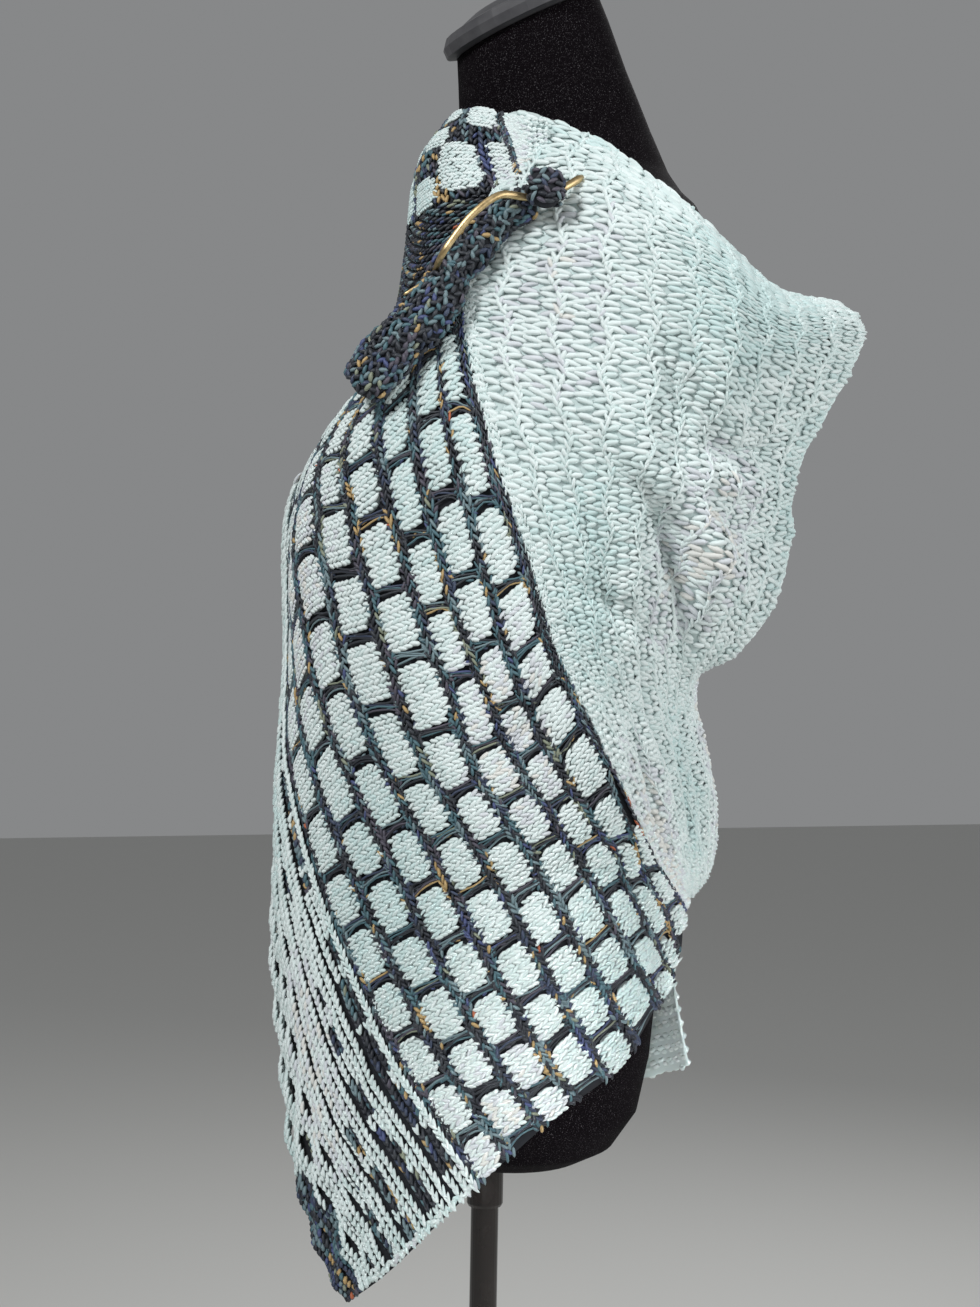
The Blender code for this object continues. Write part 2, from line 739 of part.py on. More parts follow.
def brick_relief(courses, bricks):
    """Raised slip-stitch bricks, half a brick out of step from course to course."""
    course = np.floor(courses)
    in_course = courses - course
    in_brick = (bricks + BRICK_START + 0.5 * np.mod(course, 2)) % 1.0
    across = np.clip(np.sin(math.pi * in_course) * 1.6, 0, 1)
    along = np.clip(np.sin(math.pi * in_brick) * 1.9, 0, 1)
    return BRICK_RISE * across * along


def ridge_relief(courses, bricks):
    """Low ridges between the courses of the pale section, wandering a little."""
    wander = 0.16 * np.sin(2 * math.pi * (bricks + 0.5 * np.floor(courses)))
    return RIDGE_RISE * np.abs(np.cos(math.pi * (courses + wander))) ** 3


def rib_relief(courses, bricks):
    """Raised pale lines between the sunken blocks of the inverse section."""
    return RIB_RISE * np.abs(np.cos(math.pi * courses)) ** 2 + 0 * bricks


def garter_relief(courses, bricks):
    return RIB_RISE * 0.5 * (1 + np.cos(2 * math.pi * courses * 2)) + 0 * bricks


def build_front(pale, dark):
    gap = 2 * SEAM / COURSE_WIDTH
    front_panel("panel_pale", -10.0, -gap, 23, 34, PALE_TOP, ridge_relief, pale)
    front_panel("panel_brick", gap, 9.0 - gap, 28, 40, ROLL_TOP, brick_relief, pale)
    front_panel("panel_inverse", 9.0 + gap, 14.0 - gap, 11, 34, ROLL_TOP, rib_relief, dark)
    front_panel("border_dark", 14.0 + gap, 16.0, 4, 34, ROLL_TOP, garter_relief, dark)


def wrap_panel(name, first, last, across, low, high, down, material):
    """A section of the cloth round the back and the neck between its guides."""
    places, falls = np.meshgrid(np.linspace(first, last, across),
                                np.linspace(low, high, down), indexing="ij")
    normals = normals_of(wrap_points, places, falls)
    return wall(name, wrap_points(places, falls), normals, 0.0, material)


def build_wrap(pale, dark):
    seam = RIGHT_SHOULDER - WRAP_SEAM
    wrap_panel("panel_back", 0.0, seam, 25, 0.05, 10.0, 17, pale)
    start = RIGHT_SHOULDER + WRAP_SEAM
    end = len(WRAP_GUIDES) - 1 - COLLAR_END
    split = 10 * COLLAR_SPLIT
    wrap_panel("collar_brick", start, end, 25, 0.0, split - COLLAR_SEAM, 7, pale)
    wrap_panel("collar_border", start, end, 25, split + COLLAR_SEAM, 10.0, 5, dark)


def roll_line():
    """Middle line, half widths and half depths of the roll over the front cloth."""
    table = np.array(ROLL_LINE)
    rows = smooth(np.arange(len(table)), table, np.linspace(0, len(table) - 1, ROLL_STEPS))
    points = []
    for courses, bricks, _, half_depth in rows:
        place = np.array([courses]), np.array([bricks])
        normal = normals_of(front_points, *place)[0]
        points.append(front_points(*place)[0] + normal * (half_depth + ROLL_GAP))
    return np.array(points), rows[:, 2], rows[:, 3]


def build_fastening(dark, brass):
    points, half_widths, half_depths = roll_line()
    rings_solid("collar_roll", tube_rings(points, half_widths, half_depths, ROLL_SIDES, 0.3), dark, 60)
    centre = view_to_world([KNOB_CENTRE])[0]
    rings = []
    for turn in np.linspace(-75, 75, 7):
        turn = math.radians(turn)
        ring = []
        for k in range(12):
            angle = 2 * math.pi * k / 12
            local = (math.cos(turn) * math.cos(angle) * KNOB_RADII[0],
                     math.cos(turn) * math.sin(angle) * KNOB_RADII[1],
                     math.sin(turn) * KNOB_RADII[2])
            ring.append(tuple(centre + view_to_world([local])[0]))
        rings.append(ring)
    rings_solid("pin_knob", rings, dark, 60)
    line = view_to_world(PIN_LINE)
    line = smooth(np.arange(len(line)), line, np.linspace(0, len(line) - 1, 25))
    radii = [PIN_RADIUS] * len(line)
    rings_solid("shawl_pin", tube_rings(line, radii, radii, 8, 0.35), brass, 60)


def main():
    for thing in list(bpy.data.objects):
        bpy.data.objects.remove(thing, do_unlink=True)
    pale = make_material("pale_yarn", (0.60, 0.73, 0.72), 0.85)
    dark = make_material("dark_yarn", (0.035, 0.055, 0.075), 0.85)
    velvet = make_material("black_velvet", (0.008, 0.006, 0.010), 0.95)
    plastic = make_material("charcoal_plastic", (0.045, 0.045, 0.050), 0.45)
    metal = make_material("dark_metal", (0.020, 0.016, 0.014), 0.30, 0.6)
    brass = make_material("brass", (0.60, 0.42, 0.16), 0.35, 1.0)
    build_stand(plastic, metal)
    build_form(velvet, plastic)
    build_front(pale, dark)
    build_wrap(pale, dark)
    build_fastening(dark, brass)


main()
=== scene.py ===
"""Looks of the hand-knit brick-stitch shawl pinned over its dress form.

Metres, +Z up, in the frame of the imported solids. Every stitch is a short closed
strand of yarn laid on the cloth's own surface, which is worked out from the same
guide lines as the solids. The drape is laid out as it is seen from the form's
front left: side runs to the right across that view, near runs towards it.
"""
import math

import bpy
import numpy as np
from mathutils import Matrix, Vector


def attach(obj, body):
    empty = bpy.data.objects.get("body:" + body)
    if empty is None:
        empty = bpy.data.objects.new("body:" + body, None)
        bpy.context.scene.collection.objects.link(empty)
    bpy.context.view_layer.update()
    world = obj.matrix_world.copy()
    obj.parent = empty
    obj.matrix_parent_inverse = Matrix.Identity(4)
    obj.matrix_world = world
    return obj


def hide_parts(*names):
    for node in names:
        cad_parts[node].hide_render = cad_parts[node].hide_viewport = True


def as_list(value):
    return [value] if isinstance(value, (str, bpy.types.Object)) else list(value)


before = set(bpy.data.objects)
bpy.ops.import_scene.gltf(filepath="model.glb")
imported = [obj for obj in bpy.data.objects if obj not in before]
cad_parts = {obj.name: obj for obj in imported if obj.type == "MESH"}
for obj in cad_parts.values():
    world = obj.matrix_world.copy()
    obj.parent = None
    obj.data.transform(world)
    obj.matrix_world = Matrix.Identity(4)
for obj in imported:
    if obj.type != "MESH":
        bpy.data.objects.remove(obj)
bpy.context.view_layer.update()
chance = np.random.default_rng(11)

# Cloth: how far it stands off the form, its wall, and the size of its courses and bricks
CLEAR = 0.0019
WALL = 0.0030
COURSE_WIDTH = 0.028
BRICK_LENGTH = 0.040
BRICK_START = 0.3
# The thin ground under the stitches: how far its two faces lie below the surface
GROUND_DEPTH = 0.0007
GROUND_THICKNESS = 0.0016
# The least size of a course or a brick that a stitch is fitted to, and the narrowest course that is knitted
LEAST_SPAN = 0.004
LEAST_COURSE = 0.0085
# Courses of bricks on the front, the shortest brick, and half the room of a crossing between two, in bricks
BRICK_COURSES = 9
LEAST_BRICK = 0.14
TIE_HALF = 0.105
# Half width of a brick and how much slimmer it is at the neck, in courses
BRICK_HALF = 0.360
NECK_SLIMMER = 0.040
# How far a brick's pad sinks under its stitches, and how far it reaches down into the cloth
PAD_SINK = 0.0003
PAD_DEPTH = 0.0012
# How far the bricks puff out, and those of the pale section
BRICK_PUFF = 0.0024
PALE_PUFF = 0.0017

# Stations along a strand from -1 to 1, and how thick it is there
LEG_STATIONS = np.array([-1.0, -0.62, 0.0, 0.62, 1.0])
LEG_PROFILE = np.array([0.0, 0.80, 1.0, 0.80, 0.0])
STUB_STATIONS = np.array([-1.0, -0.42, 0.42, 1.0])
STUB_PROFILE = np.array([0.0, 1.0, 1.0, 0.0])
TIE_STATIONS = np.linspace(-1, 1, 7)
TIE_PROFILE = np.array([0.0, 0.9, 1.0, 1.0, 1.0, 0.9, 0.0])

# Kinds of stitch: half length across and along the cloth, half width and half
# height in metres, each with how uneven it is. A brick's are shares of its row.
BRICK_STITCH = ((1.0, 0.12), (0.90, 0.35), (1.0, 0.10), (0.0009, 0.12))
COLUMN_STITCH = ((0.0018, 0.35), (0.0036, 0.15), (0.00132, 0.15), (0.0013, 0.15))
CHAIN_STITCH = ((0.0015, 0.25), (0.0036, 0.15), (0.00156, 0.15), (0.0016, 0.12))
SIDE_STITCH = ((0.0020, 0.25), (0.0008, 0.50), (0.0011, 0.15), (0.0011, 0.15))
COLLAR_STITCH = ((0.0018, 0.40), (0.0034, 0.15), (0.0014, 0.12), (0.0014, 0.12))
MEETING_STITCH = ((0.0014, 0.40), (0.0028, 0.15), (0.0013, 0.12), (0.0013, 0.12))
MARGIN_STITCH = ((0.0036, 0.15), (0.0012, 0.40), (0.0015, 0.12), (0.0014, 0.12))
# How far the middle of a strand rises above its tips
ARCH = 0.0007
LOW_ARCH = 0.0006
# Bumps: half length, slant, half width and half height
PURL_BUMP = (0.00644, 0.0007, 0.0024, 0.0015)
GARTER_BUMP = (0.0036, 0.0006, 0.0012, 0.0011)

# Distances between the rows and strokes of a brick, and between bumps along and across their rows, in metres
BRICK_ROW_PITCH = 0.0028
BRICK_STROKE_PITCH = 0.0042
PURL_LENGTH = 0.0115
PURL_PITCH = 0.0046
GARTER_LENGTH = 0.0060
GARTER_PITCH = 0.0029
# Distances between the stitches of a column, in bricks
COLUMN_PITCH = 0.132
MORTAR_PITCH = 0.115
CHAIN_STITCH_PITCH = 0.118
# Columns of mortar beside each line between two courses, in courses, and how far out they stand
MORTAR_OFFSETS = (-0.135, -0.045, 0.045, 0.135)
MORTAR_LIFT = 0.0014
# Strands of each crossing: how many, how far apart and how far aslant in bricks, half their length in
# courses, how thick they are, how high at their ends and in their middle, and the stitches round them
TIE_STRANDS = 4
TIE_STRAND_PITCH = 0.048
TIE_SLOPE = 0.085
TIE_REACH = 0.53
TIE_THICKNESS = 0.0007
TIE_LIFT = 0.0006
TIE_ARCH = 0.0008
TIE_BUMPS = 6
# Share of the strokes along a brick's sides where dark yarn reaches in
SIDE_SHARE = 0.55
# Rows of the pale section: pitch and offset in bricks, strokes by their place in
# the course, and half length, half width and slant as shares of the cloth's size
PALE_ROW_PITCH = 0.102
PALE_ROW_OFFSET = 0.045
PALE_STROKES = (0.18, 0.50, 0.82)
PALE_LENGTH = 0.235
PALE_WIDTH = 0.052
PALE_SLANT = 0.60
PALE_HEIGHT = 0.0016
# Holes in the pale knitting: courses, bricks
PALE_HOLES = [(-2.38, 12.5), (-1.38, 11.75), (-0.5, 10.6), (-0.9, 10.45), (-2.4, 11.0), (-2.65, 10.0)]
PALE_HOLE_RADIUS = 0.070
# The bumps of the hanging end's inner face lie half sunk
TAIL_SINK = 0.0007

# The quarter view that the drape is laid out in
VIEW_AZIMUTH = math.radians(70)
VIEW_RIGHT = np.array([math.cos(VIEW_AZIMUTH), math.sin(VIEW_AZIMUTH), 0.0])
VIEW_NEAR = np.array([math.sin(VIEW_AZIMUTH), -math.cos(VIEW_AZIMUTH), 0.0])
VIEW_UP = np.array([0.0, 0.0, 1.0])
EYE_SIDE = -0.003
EYE_NEAR = 1.400
EYE_UP = 0.962
# Middle of the form, from which outward is measured
FORM_AXIS = np.array([0.0, 0.03, 0.0])
# Sides of the dress form's rings, the steps from one ring to the next, and half the floor's width
FORM_SIDES = 64
FORM_STEPS = 4
FLOOR_HALF = 9

# Camera
ROLL = math.radians(1.0)
FRAME_PIXELS_HIGH = 1307
FOCAL_PIXELS = 2029
SENSOR_HEIGHT = 24.0

# Dress form sections: up, half_width, front, back, tilt in degrees
FORM_RINGS = [
    (0.622, 0.050, 0.036, 0.036, 0),
    (0.626, 0.090, 0.064, 0.065, 0),
    (0.638, 0.118, 0.085, 0.082, 0),
    (0.660, 0.136, 0.101, 0.096, 0),
    (0.695, 0.142, 0.111, 0.104, 0),
    (0.735, 0.144, 0.113, 0.108, 0),
    (0.785, 0.139, 0.110, 0.105, 0),
    (0.840, 0.127, 0.104, 0.096, 0),
    (0.890, 0.118, 0.100, 0.088, 0),
    (0.940, 0.123, 0.110, 0.090, 0),
    (0.990, 0.135, 0.127, 0.097, 0),
    (1.030, 0.144, 0.135, 0.103, 0),
    (1.055, 0.147, 0.131, 0.106, 0),
    (1.080, 0.150, 0.115, 0.110, 0),
    (1.110, 0.156, 0.092, 0.115, 0),
    (1.140, 0.163, 0.068, 0.120, 0),
    (1.170, 0.169, 0.047, 0.123, 0),
    (1.200, 0.171, 0.037, 0.124, 0),
    (1.225, 0.167, 0.032, 0.125, 0),
    (1.245, 0.152, 0.029, 0.127, 0),
    (1.262, 0.126, 0.028, 0.128, 0),
    (1.277, 0.097, 0.028, 0.125, 0),
    (1.293, 0.076, 0.028, 0.118, 2),
    (1.318, 0.063, 0.029, 0.105, 8),
    (1.350, 0.058, 0.029, 0.086, 18),
    (1.378, 0.056, 0.030, 0.072, 25),
    (1.396, 0.055, 0.031, 0.063, 27),
]

# Guide lines of the front cloth: bricks, side, near, up. Each line follows one
# course of the knitting from the end edge up towards the neck.
PALE_EDGE = [
    (1.3, 0.134, 0.000, 0.792),
    (3.0, 0.152, 0.000, 0.823),
    (4.2, 0.153, 0.000, 0.861),
    (5.0, 0.147, 0.000, 0.895),
    (6.0, 0.137, 0.010, 0.933),
    (6.7, 0.138, 0.030, 0.952),
    (7.4, 0.158, 0.048, 0.964),
    (8.3, 0.181, 0.055, 0.994),
    (9.3, 0.195, 0.056, 1.040),
    (10.2, 0.193, 0.057, 1.071),
    (11.3, 0.208, 0.055, 1.110),
    (12.6, 0.233, 0.050, 1.156),
    (13.5, 0.242, 0.045, 1.180),
    (14.3, 0.237, 0.046, 1.190),
    (15.7, 0.219, 0.052, 1.199),
]
PALE_OUTER = [
    (1.3, 0.134, 0.008, 0.794),
    (3.0, 0.141, 0.030, 0.828),
    (4.2, 0.140, 0.040, 0.874),
    (6.0, 0.121, 0.060, 0.931),
    (7.2, 0.127, 0.088, 0.966),
    (8.2, 0.141, 0.108, 1.002),
    (10.2, 0.157, 0.108, 1.072),
    (11.5, 0.165, 0.120, 1.115),
    (12.5, 0.174, 0.122, 1.153),
    (13.5, 0.177, 0.118, 1.174),
    (14.5, 0.177, 0.108, 1.189),
    (15.7, 0.174, 0.092, 1.201),
]
PALE_MIDDLE = [
    (1.3, 0.133, 0.018, 0.795),
    (3.0, 0.130, 0.050, 0.831),
    (4.2, 0.122, 0.070, 0.876),
    (6.0, 0.102, 0.098, 0.935),
    (7.2, 0.098, 0.118, 0.977),
    (8.2, 0.100, 0.130, 1.014),
    (10.2, 0.112, 0.146, 1.081),
    (11.5, 0.118, 0.152, 1.130),
    (12.5, 0.120, 0.154, 1.167),
    (13.5, 0.119, 0.154, 1.199),
    (14.5, 0.118, 0.149, 1.223),
    (15.7, 0.118, 0.127, 1.242),
]
PALE_INNER = [
    (1.3, 0.131, 0.032, 0.796),
    (3.0, 0.116, 0.072, 0.833),
    (4.2, 0.100, 0.096, 0.877),
    (6.0, 0.076, 0.124, 0.939),
    (7.2, 0.067, 0.138, 0.979),
    (8.2, 0.062, 0.146, 1.013),
    (10.2, 0.055, 0.153, 1.087),
    (11.5, 0.051, 0.153, 1.139),
    (12.5, 0.050, 0.149, 1.180),
    (13.5, 0.051, 0.144, 1.218),
    (14.5, 0.055, 0.124, 1.260),
    (15.7, 0.063, 0.078, 1.297),
]
BOUNDARY = [
    (0.0, 0.141, 0.030, 0.762),
    (1.3, 0.129, 0.047, 0.794),
    (3.0, 0.104, 0.086, 0.834),
    (4.2, 0.082, 0.116, 0.878),
    (6.0, 0.048, 0.141, 0.944),
    (7.2, 0.033, 0.147, 0.978),
    (8.2, 0.023, 0.149, 1.012),
    (10.2, -0.006, 0.147, 1.097),
    (11.5, -0.020, 0.135, 1.154),
    (12.5, -0.023, 0.122, 1.188),
    (13.5, -0.020, 0.106, 1.225),
    (14.5, -0.005, 0.089, 1.262),
    (15.7, 0.003, 0.075, 1.315),
]
THIRD_COURSE = [
    (0.0, 0.119, 0.052, 0.741),
    (1.2, 0.103, 0.076, 0.767),
    (3.2, 0.068, 0.116, 0.830),
    (4.2, 0.052, 0.129, 0.857),
    (5.2, 0.032, 0.138, 0.886),
    (7.2, 0.001, 0.148, 0.948),
    (8.2, -0.013, 0.150, 0.987),
    (9.2, -0.025, 0.151, 1.031),
    (10.2, -0.039, 0.147, 1.084),
    (11.2, -0.044, 0.138, 1.126),
    (12.2, -0.043, 0.126, 1.165),
    (13.0, -0.039, 0.116, 1.189),
]
FIFTH_COURSE = [
    (0.0, 0.087, 0.078, 0.695),
    (1.2, 0.064, 0.101, 0.736),
    (2.2, 0.049, 0.114, 0.763),
    (4.2, 0.012, 0.137, 0.831),
    (6.2, -0.028, 0.144, 0.893),
    (7.2, -0.044, 0.144, 0.925),
    (8.2, -0.066, 0.139, 0.964),
    (9.2, -0.080, 0.133, 1.003),
    (10.2, -0.092, 0.125, 1.045),
    (11.2, -0.091, 0.121, 1.083),
    (12.2, -0.080, 0.123, 1.118),
    (13.0, -0.068, 0.120, 1.146),
]
SEVENTH_COURSE = [
    (0.0, 0.047, 0.092, 0.666),
    (1.2, 0.023, 0.107, 0.700),
    (3.2, -0.014, 0.124, 0.765),
    (5.2, -0.050, 0.127, 0.834),
    (6.2, -0.070, 0.121, 0.870),
    (7.2, -0.089, 0.111, 0.907),
    (8.2, -0.106, 0.099, 0.946),
    (9.2, -0.118, 0.086, 0.990),
    (10.2, -0.127, 0.075, 1.032),
    (11.2, -0.123, 0.075, 1.068),
    (12.2, -0.109, 0.085, 1.100),
    (13.0, -0.090, 0.098, 1.128),
]
CHAIN_LINE = [
    (0.0, -0.004, 0.098, 0.621),
    (1.2, -0.033, 0.106, 0.666),
    (2.2, -0.053, 0.107, 0.696),
    (3.2, -0.071, 0.104, 0.728),
    (4.2, -0.087, 0.098, 0.761),
    (5.2, -0.103, 0.088, 0.795),
    (6.2, -0.115, 0.076, 0.826),
    (7.2, -0.126, 0.060, 0.859),
    (8.2, -0.135, 0.038, 0.894),
    (9.2, -0.138, 0.012, 0.935),
    (10.2, -0.1395, -0.006, 0.980),
    (11.2, -0.1410, -0.010, 1.024),
    (12.2, -0.137, 0.002, 1.066),
    (13.0, -0.120, 0.035, 1.100),
]
BORDER_LINE = [
    (0.0, -0.069, 0.090, 0.556),
    (1.2, -0.088, 0.086, 0.588),
    (2.2, -0.107, 0.072, 0.615),
    (3.2, -0.121, 0.050, 0.645),
    (4.2, -0.131, 0.024, 0.680),
    (5.2, -0.138, -0.004, 0.715),
    (6.2, -0.146, -0.026, 0.750),
    (8.2, -0.1475, -0.056, 0.830),
    (10.2, -0.1460, -0.078, 0.920),
    (11.2, -0.1450, -0.082, 0.975),
    (12.2, -0.141, -0.064, 1.030),
    (13.0, -0.128, -0.020, 1.080),
]
BORDER_EDGE = [
    (0.0, -0.090, 0.076, 0.537),
    (1.2, -0.106, 0.066, 0.561),
    (2.2, -0.118, 0.048, 0.587),
    (3.2, -0.128, 0.024, 0.616),
    (4.2, -0.135, -0.004, 0.648),
    (5.2, -0.1425, -0.033, 0.683),
    (6.2, -0.1495, -0.056, 0.720),
    (8.2, -0.1510, -0.089, 0.800),
    (10.2, -0.1490, -0.112, 0.895),
    (11.2, -0.1470, -0.116, 0.950),
    (12.2, -0.1430, -0.096, 1.005),
    (13.0, -0.128, -0.050, 1.060),
]

# The guides by their place across the cloth, in courses from the boundary
FRONT_GUIDES = [
    (-10.0, PALE_EDGE),
    (-7.5, PALE_OUTER),
    (-5.0, PALE_MIDDLE),
    (-2.5, PALE_INNER),
    (0.0, BOUNDARY),
    (2.5, THIRD_COURSE),
    (4.5, FIFTH_COURSE),
    (6.5, SEVENTH_COURSE),
    (9.0, CHAIN_LINE),
    (14.0, BORDER_LINE),
    (16.0, BORDER_EDGE),
]
# Where the cloth's end edge lies and where the roll covers it: courses, bricks
END_EDGE = [(-10.0, 1.3), (0.0, 1.3), (1.2, 0.45), (2.5, 0.0), (16.0, 0.0)]
PALE_TOP = [(-10.0, 15.7), (0.0, 15.7)]
ROLL_TOP = [(0.0, 12.8), (2.1, 12.35), (4.4, 12.4), (6.5, 12.6), (16.0, 12.2)]

# Creases pressed into the front cloth: courses, bricks, half_width and
# half_length in the same units, turn in degrees, depth (below 0 is a ridge)
CREASES = [
    (2.2, 6.1, 0.55, 1.9, 62, 0.0055),
    (3.4, 5.5, 0.60, 1.5, 58, -0.0030),
    (-5.4, 9.4, 0.70, 3.2, -24, 0.0080),
    (-7.0, 8.6, 0.90, 2.4, -20, -0.0055),
    (-4.0, 7.6, 0.70, 2.6, -14, -0.0045),
    (-7.6, 11.2, 0.60, 1.9, -38, 0.0050),
    (-5.8, 12.4, 0.80, 2.0, 10, -0.0040),
    (-3.4, 12.8, 0.70, 2.2, 4, 0.0030),
    (-5.6, 4.4, 0.55, 2.2, 12, 0.0050),
    (-3.4, 4.6, 0.60, 2.4, 8, -0.0035),
]

# Softer folds, in the looks alone
SOFT_FOLDS = [
    (-5.3, 8.6, 0.42, 2.0, -40, 0.0125),
    (-6.5, 8.9, 0.50, 1.6, -40, -0.0060),
    (-7.7, 10.15, 0.32, 2.1, 88, -0.0070),
    (-7.4, 10.75, 0.34, 2.0, 80, 0.0080),
    (-8.0, 9.35, 0.36, 1.9, 96, 0.0072),
    (-7.8, 8.6, 0.34, 1.6, 104, -0.0045),
    (-4.6, 11.6, 0.45, 1.8, -14, 0.0062),
    (-3.6, 11.4, 0.50, 1.8, -10, -0.0025),
    (-2.6, 8.4, 0.45, 2.2, -20, 0.0052),
    (-4.2, 6.0, 0.40, 2.0, 4, 0.0065),
    (-7.0, 4.6, 0.50, 1.8, 8, 0.0062),
    (-2.2, 4.0, 0.40, 1.6, 20, 0.0050),
    (-4.85, 9.75, 0.45, 2.5, -56, -0.0100),
    (-5.5, 11.0, 0.70, 2.0, -56, 0.0115),
    (-3.4, 7.5, 0.42, 2.2, -72, 0.0065),
]

# The cloth behind and round the neck, each line from its top edge down to the
# hem: left, back, up. It runs from the left shoulder over the back to the right
# shoulder, then as a collar round the front to the left of the neck.
WRAP_GUIDES = [
    [
        (0.117, 0.196, 1.178),
        (0.108, 0.172, 1.110),
        (0.092, 0.148, 1.030),
        (0.044, 0.126, 0.940),
        (0.028, 0.129, 0.850),
        (0.023, 0.129, 0.750),
        (0.036, 0.137, 0.678),
    ],
    [
        (0.137, 0.127, 1.186),
        (0.112, 0.140, 1.120),
        (0.062, 0.147, 1.030),
        (0.012, 0.141, 0.940),
        (-0.006, 0.138, 0.850),
        (-0.010, 0.136, 0.750),
        (-0.002, 0.139, 0.666),
    ],
    [
        (0.118, 0.132, 1.222),
        (0.096, 0.145, 1.160),
        (0.044, 0.151, 1.080),
        (-0.002, 0.149, 0.990),
        (-0.032, 0.144, 0.900),
        (-0.040, 0.139, 0.780),
        (-0.046, 0.130, 0.661),
    ],
    [
        (0.085, 0.137, 1.238),
        (0.052, 0.150, 1.165),
        (0.006, 0.154, 1.070),
        (-0.042, 0.148, 0.960),
        (-0.070, 0.137, 0.850),
        (-0.086, 0.126, 0.745),
    ],
    [
        (0.000, 0.143, 1.252),
        (-0.034, 0.150, 1.150),
        (-0.076, 0.146, 1.050),
        (-0.108, 0.130, 0.950),
        (-0.124, 0.114, 0.870),
    ],
    [
        (-0.085, 0.112, 1.276),
        (-0.122, 0.128, 1.200),
        (-0.149, 0.120, 1.110),
        (-0.160, 0.104, 1.030),
    ],
    [
        (-0.100, 0.046, 1.300),
        (-0.160, 0.058, 1.258),
        (-0.188, 0.062, 1.180),
        (-0.192, 0.060, 1.095),
    ],
    [
        (-0.072, -0.004, 1.318),
        (-0.116, -0.018, 1.280),
        (-0.158, -0.012, 1.205),
        (-0.172, -0.020, 1.125),
    ],
    [
        (-0.042, -0.021, 1.324),
        (-0.062, -0.037, 1.290),
        (-0.084, -0.039, 1.230),
        (-0.098, -0.050, 1.165),
    ],
    [
        (-0.020, -0.033, 1.326),
        (-0.030, -0.050, 1.296),
        (-0.031, -0.055, 1.262),
        (-0.033, -0.062, 1.198),
    ],
    [
        (0.006, -0.037, 1.327),
        (0.008, -0.057, 1.298),
        (0.010, -0.062, 1.262),
        (0.012, -0.073, 1.200),
    ],
    [
        (0.038, -0.034, 1.324),
        (0.048, -0.052, 1.295),
        (0.054, -0.062, 1.260),
        (0.062, -0.078, 1.205),
    ],
    [
        (0.0705, -0.0230, 1.3140),
        (0.0745, -0.0300, 1.2900),
        (0.0795, -0.0375, 1.2620),
        (0.0895, -0.0560, 1.2270),
    ],
]
# Share of the wrap's depth that is the collar's bricks
COLLAR_SPLIT = 0.60

# The rolled border that covers the cloth's top edge: courses, bricks,
# half_width, half_depth
ROLL_LINE = [
    (-1.6, 13.90, 0.010, 0.008),
    (-1.0, 13.60, 0.012, 0.009),
    (0.0, 12.80, 0.015, 0.010),
    (2.1, 12.10, 0.018, 0.011),
    (3.6, 12.30, 0.019, 0.011),
    (4.4, 12.20, 0.017, 0.011),
]
# How far the roll's middle line stands off the cloth, past its own half depth
ROLL_GAP = 0.0026
# The knob of knitting: side, near, up
KNOB_CENTRE = (0.0265, 0.1455, 1.2475)
KNOB_RADII = (0.0100, 0.0080, 0.0115)
# Bent brass shawl pin: side, near, up
PIN_LINE = [
    (0.050, 0.1260, 1.2625),
    (0.038, 0.1355, 1.2530),
    (0.026, 0.1341, 1.2475),
    (0.013, 0.1417, 1.2455),
    (0.001, 0.1477, 1.2455),
    (-0.008, 0.1510, 1.2410),
    (-0.020, 0.1530, 1.2300),
    (-0.030, 0.1530, 1.2170),
    (-0.036, 0.1520, 1.2080),
]
# The pin dives through the roll and its tip comes out at the edge: side, near, up
PIN_TIP = [
    (-0.0395, 0.1440, 1.2030),
    (-0.0420, 0.1350, 1.1990),
    (-0.0455, 0.1360, 1.1940),
    (-0.0530, 0.1385, 1.1885),
    (-0.0605, 0.1395, 1.1838),
]
PIN_HALF_WIDTH = 0.0025
PIN_HALF_DEPTH = 0.0019
# The knob is rounder and sits higher than its solid
KNOB_LIFT = 0.003
KNOB_SWELL = 1.10

# How far each line between two courses lies from its even place: bricks, courses
LINE_SHIFTS = {
    0: [(0.0, 0.05), (3.6, 0.05), (4.6, 0.18), (6.0, 0.26), (12.8, 0.28)],
    1: [(0.7, 0.55), (1.5, 0.25), (2.0, 0.25), (2.8, 0.10), (3.4, -0.36), (4.1, -0.42),
        (4.6, -0.78), (6.0, -0.72), (12.8, -0.70)],
    2: [(1.2, 0.12), (2.5, 0.12), (3.1, -0.20), (4.2, 0.08), (5.0, 0.0), (10.0, -0.06)],
    3: [(6.0, 0.0), (7.5, -0.06), (12.8, -0.06)],
    4: [(6.0, 0.0), (7.3, -0.34), (8.5, -0.40), (10.3, -0.40), (11.0, -0.25), (12.4, 0.0)],
    5: [(7.0, 0.0), (8.0, -0.40), (9.0, -0.55), (10.4, -0.60), (11.2, -0.20), (11.8, 0.0)],
    6: [(7.5, 0.0), (9.0, -0.40), (10.5, -0.50), (11.5, 0.0)],
}
# Where dark strands cross the second course, in bricks
SECOND_COURSE_TIES = [0.2, 1.35, 2.55, 3.45, 4.35, 5.35, 6.30, 7.20, 8.25, 9.40, 10.60, 11.80, 13.0]

# Pale chains of the inverse section: the first one, their pitch, and half the gap between a chain's legs
CHAIN_FIRST = 9.34
CHAIN_PITCH = 0.268
CHAIN_OPEN = 0.040
# How far out the raised and the low chains stand, the dark blocks between them and the dark border
RAISED_LIFT = 0.0040
LOW_LIFT = 0.0018
BLOCK_LIFT = 0.0002
BORDER_LIFT = 0.0016
# Size of a dark stitch next to a pale one
BLOCK_STITCH_SIZE = 1.10
